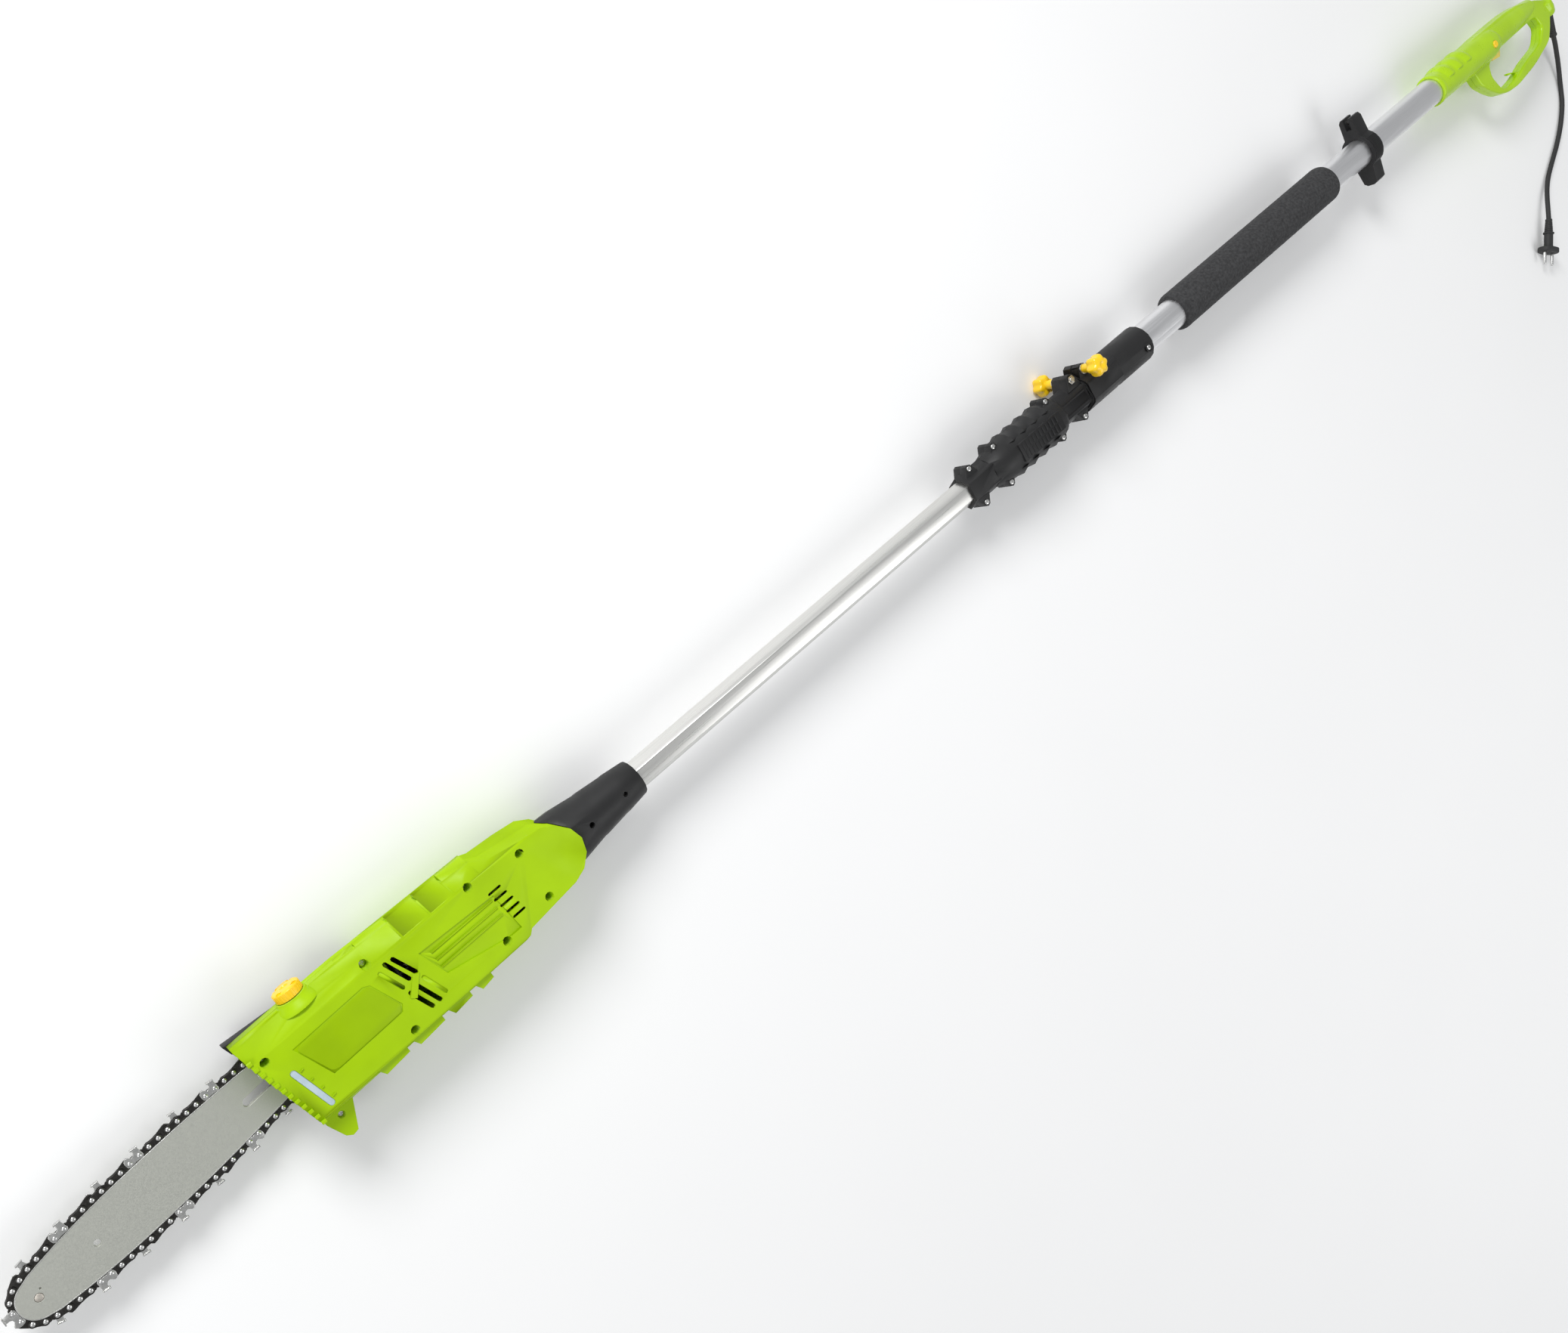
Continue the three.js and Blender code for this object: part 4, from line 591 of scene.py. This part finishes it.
def rivet_places():
    """Rivet centres, spaced equally along the line."""
    line = [Vector((u, v, 0)) for u, v in chain_line()]
    line.append(line[0])
    lengths = [0]
    for a, b in zip(line, line[1:]):
        lengths.append(lengths[-1] + (b - a).length)
    places = []
    leg = 0
    for i in range(RIVETS):
        wanted = lengths[-1] * (i + 0.4) / RIVETS
        while lengths[leg + 1] < wanted:
            leg += 1
        share = (wanted - lengths[leg]) / (lengths[leg + 1] - lengths[leg])
        places.append(line[leg].lerp(line[leg + 1], share))
    return places


def link_turns(rivets, first, step):
    """Matrices that set a link drawn along X, outside towards -Y, between each pair of rivets."""
    turns = []
    for i in range(first, RIVETS, step):
        here, after = rivets[i], rivets[(i + 1) % RIVETS]
        heading = math.atan2(after.y - here.y, after.x - here.x)
        turns.append(BAR_FRAME @ Matrix.Translation((here + after) / 2) @ Matrix.Rotation(heading, 4, "Z"))
    return turns


def bar_outline(inward=0.0):
    tail = SLOT_TO + BAR_TAIL
    flank = [5 + (tail - 5) * i / 40 for i in range(41)]
    flank = [(u, chain_half(u) - RAIL_LIFT - inward) for u in flank]
    nose = arc(0, 0, NOSE_R - RAIL_LIFT - inward, math.degrees(1.75), 360 - math.degrees(1.75), 40)
    return [(u, -v) for u, v in flank] + flank[::-1] + nose


def make_bar():
    """Laminated bar: two cheeks with ground rails, a spacer between them and its holes."""
    holes = [arc(56, 0, 3.2, 0, 345, 23), capsule((SLOT_FROM, 0), (SLOT_TO, 0), 8.2, 16),
             arc(SLOT_TO - 14, 9.4, 3, 0, 345, 23)]
    oiler = arc(5.3, 5.3, 0.9, 0, 330, 11)
    half = BAR_THICK / 2
    rivet = arc(0, 0, 3.75, 0, 350, 35)
    cheeks = [flat([bar_outline(), *holes, rivet], -half, -0.7, 0.25),
              flat([bar_outline(), *holes, rivet, oiler], 0.7, half, 0.25)]
    core = [(u, v) for u, v in bar_outline(5.5) if u > 20]
    spacer = flat([core, *holes], -0.75, 0.75, 0.05)
    parts = [*cheeks, spacer]
    piece("bar_plates", joined(parts, [BAR_FRAME] * 3), "bar", "bar", ["guide_bar"], sharp=8)
    rail_line = [bar_outline(0.05), bar_outline(0.9)]
    rails = [flat(rail_line, low, low + 0.12, 0.03, 1) for low in (half - 0.08, -half - 0.04)]
    piece("bar_ground_rails", joined(rails, [BAR_FRAME] * 2), "bar", "rail")
    crown = [(0, -2.4), (3.3, -2.4), (3.5, -2.25), (3.5, 2.25), (3.3, 2.4), (0, 2.4)]
    rivet_head = lathe(crown, Matrix.Translation(NOSE), 40)
    piece("bar_nose_rivet", rivet_head, "bar", "rivet", ["nose_rivet"])


def make_chain():
    """Separate drive links, tie straps, left and right cutters with depth gauges, and domed rivets."""
    rivets = rivet_places()
    drive = [(-8.2, 1.2), (-6.2, -2.6), (-1.5, -2.9), (0, -1.9), (1.5, -2.9), (6.2, -2.6), (8.2, 1.2),
             (5.2, 2.6), (2.2, 5.2), (-1.2, 5.0), (-4.6, 2.8)]
    guard = [(-7.6, 0.4), (-7.0, -4.0), (-5.4, -5.7), (-2.4, -5.4), (2.4, -4.2), (6.2, -3.2), (7.6, 0.4),
             (5, 2.4), (-5, 2.4)]
    strap = (arc(-4.76, 0, 3.4, 90, 270, 8) + [(-1.6, -2.9), (1.6, -2.9)]
             + arc(4.76, 0, 3.4, -90, 90, 8) + [(1.6, 2.8), (-1.6, 2.8)])
    cutter = ([(-8.0, 1.2), (-7.8, -3.2), (-7.4, -8.0), (-2.4, -8.4), (-2.2, -5.0), (-1.0, -3.2), (1.2, -2.9)]
              + [(2.6, -4.4), (4.0, -5.8), (5.6, -5.9), (7.4, -4.4), (8.1, -1.4), (7.8, 1.6)]
              + [(6.4, 3.1), (3.4, 2.8), (0, 2.3), (-3.4, 2.8), (-6.6, 3.1)])
    drive_turns = link_turns(rivets, 0, 2)
    pieces = {
        "chain_drive_links": (flat([drive], -0.62, 0.62, 0.15), drive_turns, "link"),
        "chain_guard_links": (flat([guard], -0.6, 0.6, 0.15), drive_turns[0::2], "link"),
    }
    tie_turns = link_turns(rivets, 1, 4)
    strap_pair = joined([flat([strap], 0.72, 1.95, 0.2), flat([strap], -1.95, -0.72, 0.2)])
    pieces["chain_tie_straps"] = (strap_pair, tie_turns, "link")
    cutter_turns = link_turns(rivets, 3, 4)
    for name, side, turns in (("near", 1, cutter_turns[0::2]), ("far", -1, cutter_turns[1::2])):
        plate_z = sorted((side * 0.72, side * 1.95))
        other_z = sorted((-side * 0.72, -side * 1.95))
        top = bmesh.new()
        inner, outer = -side * 0.7, side * 3.5
        corners = [(-1.6, -8.9, inner), (-8.2, -8.1, inner * 0.2), (-8.2, -8.1, outer * 0.9),
                   (-1.6, -8.9, outer)]
        above = [top.verts.new(corner) for corner in corners]
        under = [top.verts.new((x, y + 0.95, z)) for x, y, z in corners]
        top.faces.new(above)
        top.faces.new(under[::-1])
        for i in range(4):
            j = (i + 1) % 4
            top.faces.new((above[i], under[i], under[j], above[j]))
        link = joined([flat([cutter], *plate_z, 0.2), mesh_of(top)])
        pieces[f"chain_{name}_cutters"] = (link, turns, "cutter")
        pieces[f"chain_{name}_cutter_straps"] = (flat([strap], *other_z, 0.2), turns, "link")
    dome = [(0, -2.8), (1.2, -2.65), (1.9, -2.3), (2.2, -1.9), (2.2, 1.9), (1.9, 2.3), (1.2, 2.65), (0, 2.8)]
    rivet_turns = [BAR_FRAME @ Matrix.Translation(place_) for place_ in rivets]
    pieces["chain_rivets"] = (lathe(dome, sides=20), rivet_turns, "zinc")
    for i, (name, (mesh, turns, paint)) in enumerate(pieces.items()):
        shape = joined([mesh] * len(turns), turns)
        piece(name, shape, "bar", paint, ["saw_chain"] if i == 0 else [])


# ---- saw head -----------------------------------------------------------------------------------
HEAD_Z = pole_box("housing_front")[1].z
HEAD_SCREWS = [(-624, 33), (-512, 40.5), (-402, 35), (-346, 28), (-346.5, -23.5), (-402, -29.5), (-513, -35)]
HOOK_SCREW = (-603, -56)
SEAT_Z = 14
LABEL = [(-526, 28), (-520, 25), (-508, -8), (-512, -14), (-587, -15.5), (-601, 26)]


def make_head_screws():
    heads = [screw_mesh(x, y, SEAT_Z + 3, 3.9, 2.6) for x, y in HEAD_SCREWS]
    heads.append(screw_mesh(*HOOK_SCREW, 11, 3.4, 2.4))
    piece("head_screws", joined(heads), "saw_head", "zinc", ["housing_screw"])


def make_head_trim():
    """Small mouldings on the head's face: label panel, window marks and front castellations."""
    inner = [(x * 0.97 + -556 * 0.03, y * 0.94 + 6 * 0.06) for x, y in LABEL]
    panel = flat([rounded(inner, 0.12)], HEAD_Z - 0.75, HEAD_Z - 0.1, 0.25)
    piece("label_panel", panel, "saw_head", "label")
    top, foot = Vector((-612.5, 9, 0)), Vector((-603.5, -34, 0))
    along = (foot - top).normalized()
    across = Vector((-along.y, along.x, 0))
    marks = []
    for share in (0.08, 0.36, 0.64, 0.92):
        at = top.lerp(foot, share) + across * 4.6
        end = at + across * (3.4 if share in (0.08, 0.92) else 2.2)
        mark = capsule((at.x, at.y), (end.x, end.y), 0.9, 3)
        marks.append(flat([mark], HEAD_Z - 0.1, HEAD_Z + 0.35, 0.1, 1))
    piece("window_level_marks", joined(marks), "saw_head", "green")
    rim_from, rim_to = Vector((-637, 44, 0)), Vector((-619.5, -46, 0))
    teeth = []
    for i in range(12):
        at = rim_from.lerp(rim_to, (i + 0.5) / 12)
        teeth.append(block((at.x - 0.2, at.y - 1.7, HEAD_Z - 4),
                           (at.x + 4.4, at.y + 1.7, HEAD_Z + 0.45), 0.35))
    piece("front_castellations", joined(teeth), "saw_head", "green")


def make_oil_cap():
    low, high = pole_box("oil_cap")
    x, z = (low.x + high.x) / 2, (low.z + high.z) / 2
    radius = (high.x - low.x) / 2
    top = high.y
    foot = top - 9.1
    turn = Matrix.Translation((x, 0, z)) @ Matrix.Rotation(-math.pi / 2, 4, "X")
    ribs = 30
    profile = [(0, low.y), (8.6, low.y), (8.6, foot), (radius - 0.6, foot), (radius - 0.6, top - 1.2),
               (radius - 1.2, top - 0.5), (radius - 2, top), (4.2, top), (3.4, top - 0.9), (0, top - 1.2)]
    grips = []
    for i in range(ribs):
        angle = 2 * math.pi * i / ribs
        rib = block((radius - 1.1, -0.5, foot + 0.3), (radius - 0.05, 0.5, top - 1.1), 0.3)
        rib.transform(turn @ Matrix.Rotation(angle, 4, "Z"))
        grips.append(rib)
    notches = []
    for i in range(4):
        notch = block((radius - 5, -2.6, top - 1.6), (radius + 2, 2.6, top + 2), 0.4)
        notch.transform(turn @ Matrix.Rotation(math.pi / 4 + i * math.pi / 2, 4, "Z"))
        notches.append(notch)
    head = carved(lathe(profile, turn, 90), notches)
    piece("oil_cap_moulding", joined([head, *grips]), "cap_grip", "yellow", ["oil_cap"])


def make_head():
    for node in ("housing_front", "housing_back"):
        refined(node, "saw_head", "green")
    for node in ("sprocket_cover", "neck_front", "neck_back"):
        refined(node, "saw_head", "black")
    make_head_screws()
    make_head_trim()
    make_oil_cap()


# ---- coupling, socket and clamp knobs -------------------------------------------------------------
COUPLING_SCREWS = [(324, 22), (324, -22), (368, 23.5), (368, -23.5), (465, 24), (465, -24), (509, -22)]
COUPLING_SCREW_TOP = 12.2


def make_coupling():
    for node in ("coupling_front", "coupling_back"):
        refined(node, "coupling", "black", width=0.7)
    heads = [screw_mesh(x, y, COUPLING_SCREW_TOP, 3.3, 2.2) for x, y in COUPLING_SCREWS]
    piece("coupling_screws", joined(heads), "coupling", "zinc", ["coupling_screw"])
    ridges = []
    for x in range(394, 459, 6):
        for side in (1, -1):
            ridges.append(block((x - 1.1, side * 5.2 - 4.2, 26.2), (x + 1.1, side * 5.2 + 4.2, 27.1), 0.4))
    piece("coupling_panel_ridges", joined(ridges), "coupling", "black")


def make_socket():
    """Clamp block, turned sleeve with its screw boss, and the split clamp ears."""
    refined("socket_sleeve", "handle_pole", "black", width=0.7)
    low, high = pole_box("sleeve_screw")
    x, y = (low.x + high.x) / 2, (low.y + high.y) / 2
    head = screw_mesh(x, y, high.z, (high.x - low.x) / 2, 2.3)
    piece("sleeve_screw_head", head, "handle_pole", "zinc", ["sleeve_screw"])


def make_knob(node, body):
    """Six-lobed clamp knob with a domed end, a dimple and its stem and bolt."""
    low, high = pole_box(node)
    x, y = (low.x + high.x) / 2, (low.y + high.y) / 2
    radius = (high.x - low.x) / 2
    side = 1 if high.z > 30 else -1
    top = high.z if side > 0 else -low.z
    end = high.z if side < 0 else -low.z
    lobes, sides = 6, 96
    profile = [(0, 17), (radius - 3.2, 17), (radius - 1.6, 16.2), (radius - 0.4, 14), (radius, 11),
               (radius, 6), (radius - 0.7, 3.6), (radius - 2.4, 1.7), (radius - 5.5, 0.5), (4.4, 0),
               (3.4, 0.25), (2.6, 0.95), (0, 1.2)]
    head = lathe([(r, top - depth) for r, depth in profile], sides=sides)
    for vertex in head.vertices:
        reach = math.hypot(vertex.co.x, vertex.co.y)
        angle = math.atan2(vertex.co.y, vertex.co.x)
        share = max(0.0, min(1.0, (reach - 5) / (radius - 7)))
        dip = 1.15 * share * (1 - math.cos(lobes * angle))
        if reach > 5:
            vertex.co.x *= (reach - dip) / reach
            vertex.co.y *= (reach - dip) / reach
    stem = lathe([(0, 15.3), (5.1, 15.3), (5.6, 16.2), (5.1, top - 16.5), (6.4, top - 15.2),
                  (0, top - 15)], sides=32)
    bolt = lathe([(0, -end), (2.5, -end), (2.8, -end + 0.5), (2.8, 16), (0, 16)], sides=24)
    turn = up_z(x, y) @ Matrix.Scale(side, 4, (0, 0, 1))
    piece(node + "_grip", joined([head, stem], [turn, turn]), body, "yellow", [node])
    piece(node + "_bolt", joined([bolt], [turn]), body, "zinc")


# ---- poles, foam grip and strap eye -----------------------------------------------------------------
def make_poles():
    low, high = pole_box("outer_pole")
    radius, wall = (high.z - low.z) / 2, 1.5
    profile = [(radius - wall, low.x), (radius - 0.3, low.x), (radius, low.x + 0.3), (radius, high.x),
               (radius - wall, high.x)]
    tube = lathe([*profile, profile[0]], along_x(), 96)
    piece("outer_pole_tube", tube, "handle_pole", "pole", ["outer_pole"])
    refined("inner_pole", "saw_head", "inner", width=0.9)


def make_foam():
    """Foam sleeve with soft round ends that close on the pole."""
    low, high = pole_box("foam_grip")
    radius = (high.z - low.z) / 2
    bore = (pole_box("outer_pole")[1].z - pole_box("outer_pole")[0].z) / 2
    ends = [(bore, 0), (bore + 1.8, 0.1), (radius - 2.2, 0.9), (radius - 0.8, 2.6), (radius - 0.2, 5),
            (radius, 8)]
    steps = 60
    middle = [(radius - 0.16 * abs(math.sin(i * 1.9)), low.x + 8 + (high.x - low.x - 16) * i / steps)
              for i in range(1, steps)]
    front = [(r, low.x + d) for r, d in ends]
    rear = [(r, high.x - d) for r, d in ends][::-1]
    shape = lathe([*front, *middle, *rear, front[0]], along_x(), 80)
    sleeve = piece("foam_sleeve", shape, "handle_pole", "foam", ["foam_grip"])


def make_strap_eye():
    refined("strap_clamp", "strap_eye", "black", width=0.8)
    low, high = pole_box("strap_clamp")
    ring = (pole_box("outer_pole")[1].z + 6)
    knurl = []
    for i in range(19):
        angle = math.radians(50 + 80 * i / 18)
        y, z = ring * math.cos(angle), ring * math.sin(angle)
        rib = block((low.x + 1.2, -0.8, -0.7), (high.x - 1.2, 0.8, 0.75), 0.5)
        rib.transform(Matrix.Translation((0, y, z)) @ Matrix.Rotation(angle - math.pi / 2, 4, "X"))
        knurl.append(rib)
    piece("strap_eye_knurling", joined(knurl), "strap_eye", "black")


# ---- handle ---------------------------------------------------------------------------------------
LOOP_OUTER = [
    (1446.5, -18), (1453.5, -40.5), (1472.5, -58.5), (1490, -71), (1511, -77.5), (1541.5, -79.5), (1596, -73),
    (1648, -59.5), (1662, -45), (1677.5, -22), (1679, -15), (1674.5, -4), (1645, 8), (1604, 18.5),
    (1564, 22), (1446.5, 22),
]
LOOP_INNER = [
    (1488, -24), (1519, -16), (1628, -14), (1636.5, -17), (1643.5, -33.5), (1625, -52), (1579, -58),
    (1543.5, -67.5), (1512, -70.5), (1496.5, -64.5), (1484.5, -41),
]
HALF_THICK = 9.5


def rounded(points, share=0.28, steps=4):
    """The outline with each corner replaced by a smooth curve."""
    result = []
    count = len(points)
    for i, point in enumerate(points):
        here = Vector(point)
        before = here.lerp(Vector(points[i - 1]), share)
        after = here.lerp(Vector(points[(i + 1) % count]), share)
        for k in range(steps + 1):
            t = k / steps
            bend = before * (1 - t) ** 2 + here * (2 * t * (1 - t)) + after * t ** 2
            result.append((bend.x, bend.y))
    return result


def make_handle():
    """Two moulded halves: round barrel, finger scallops and the closed loop, blended together."""
    low = pole_box("handle_front")[0].x
    outer, inner = rounded(LOOP_OUTER), rounded(LOOP_INNER)
    loop = flat([outer, inner], -HALF_THICK, HALF_THICK, 2.8, 4)
    barrel = [(0, low), (21.4, low), (22.4, low + 1), (22.4, low + 7), (22, low + 7.7), (21.6, low + 8.5),
              (22.2, 1440), (22.4, 1500), (21.3, 1512), (19, 1520), (10, 1528), (0, 1530)]
    top_bar = [(0, 1475), (12, 1478), (18.5, 1490), (19, 1530), (18.5, 1565), (16.5, 1600), (11, 1640),
               (0, 1655)]
    round_parts = [carved(lathe(shape, along_x(y), 96), [flat([inner], -60, 60, 0.1, 0)])
                   for shape, y in ((barrel, 0), (top_bar, 2))]
    boss_profile = [(0, -24), (8, -24), (10.5, -12), (10.5, -3), (9.5, 0), (0, 0)]
    boss = lathe(boss_profile, towards(RELIEF_AT, RELIEF_DIR), 48)
    hook = rounded([(1560, -74), (1546, -61), (1533, -59.5), (1529, -54.5), (1573, -69)], 0.2, 2)
    parts = [*round_parts, loop, boss, flat([hook], -3.6, 3.6, 1)]
    for x in (1378, 1402, 1426):
        swell = [(0, x - 11), (20.6, x - 11), (23.7, x - 5), (25, x), (25, x + 4), (23.5, x + 8),
                 (20.6, x + 10), (0, x + 10)]
        parts.append(carved(lathe(swell, along_x(), 72), [block((x - 30, -60, -60), (x + 30, 7, 60), 0.1)]))
    body = fused(parts, voxel=0.8, rounds=7)
    lock_low, lock_high = pole_box("lock_button")
    lock = ((lock_low.x + lock_high.x) / 2, (lock_low.y + lock_high.y) / 2)
    cuts = [lathe([(0, 4), (5.6, 4), (5.6, 60), (0, 60)], up_z(*lock), 40),
            flat([[(1488, -30), (1534, -30), (1534, -6), (1497, -6)]], -6.4, 6.4, 0.1),
            lathe([(0, 1425), (17.9, 1425), (17.9, 1480), (0, 1481)], along_x(), 48),
            lathe([(0, 1478), (13.2, 1478), (13.2, 1548), (0, 1549)], along_x(2), 48),
            flat([capsule((1580, -67), (1608, -61.5), 5)], -2.6, 2.6, 0.3),
            lathe([(0, 1340), (19.2, 1340), (19.2, 1400), (0, 1400)], along_x(), 64),
            lathe([(0, -12), (7.1, -12), (7.1, 30), (0, 30)], towards(RELIEF_AT, RELIEF_DIR), 40)]
    body = carved(body, cuts)
    for name, side in (("front", 1), ("back", -1)):
        piece(f"handle_{name}_shell", half_of(body, side), "handle_pole", "handle_green",
              [f"handle_{name}"], sharp=50)
    foot, top = lock_low.z, lock_high.z
    dome = [(0, foot), (3.6, foot), (3.6, 13), (5.15, 13), (5.15, top - 1.2), (4.6, top - 0.4),
            (3.4, top), (2.2, top - 0.5), (0, top - 0.8)]
    cap = lathe(dome, up_z(*lock), 48)
    piece("lock_button_cap", cap, "lock_off", "yellow", ["lock_button"])
    refined("trigger", "trigger_lever", "trigger", width=1.2)


# ---- everything that stays as the CAD has it: inner works and small hardware ---------------------------
KEPT = {
    "gear": ["nose_sprocket", "drive_sprocket", "crown_gear", "sprocket_shaft", "motor_pinion",
             "motor_armature", "brush_upper", "brush_lower"],
    "copper": ["motor_stator", "commutator"],
    "zinc": ["front_bearing", "rear_bearing", "gear_bearing", "bar_stud", "cover_nut", "tension_screw",
             "tension_pin", "knob_1_washer", "knob_1_nut", "knob_2_washer", "knob_2_nut", "strap_pin",
             "trigger_pin"],
    "pole": ["oil_pump"],
    "black": ["cooling_fan", "power_switch"],
    "rubber": ["oil_cap_seal"],
    "tank": ["oil_tank"],
}


def dress_kept_nodes():
    for paint, nodes in KEPT.items():
        for node in nodes:
            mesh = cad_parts[node].data
            mesh.materials.clear()
            mesh.materials.append(PAINT[paint])
            mesh.shade_smooth()
            mesh.set_sharp_from_angle(angle=math.radians(35))


make_bar()
make_chain()
make_head()
make_coupling()
make_socket()
make_knob("knob_1", "knob_1_grip")
make_knob("knob_2", "knob_2_grip")
make_poles()
make_foam()
make_strap_eye()
make_handle()
dress_kept_nodes()
make_studio()
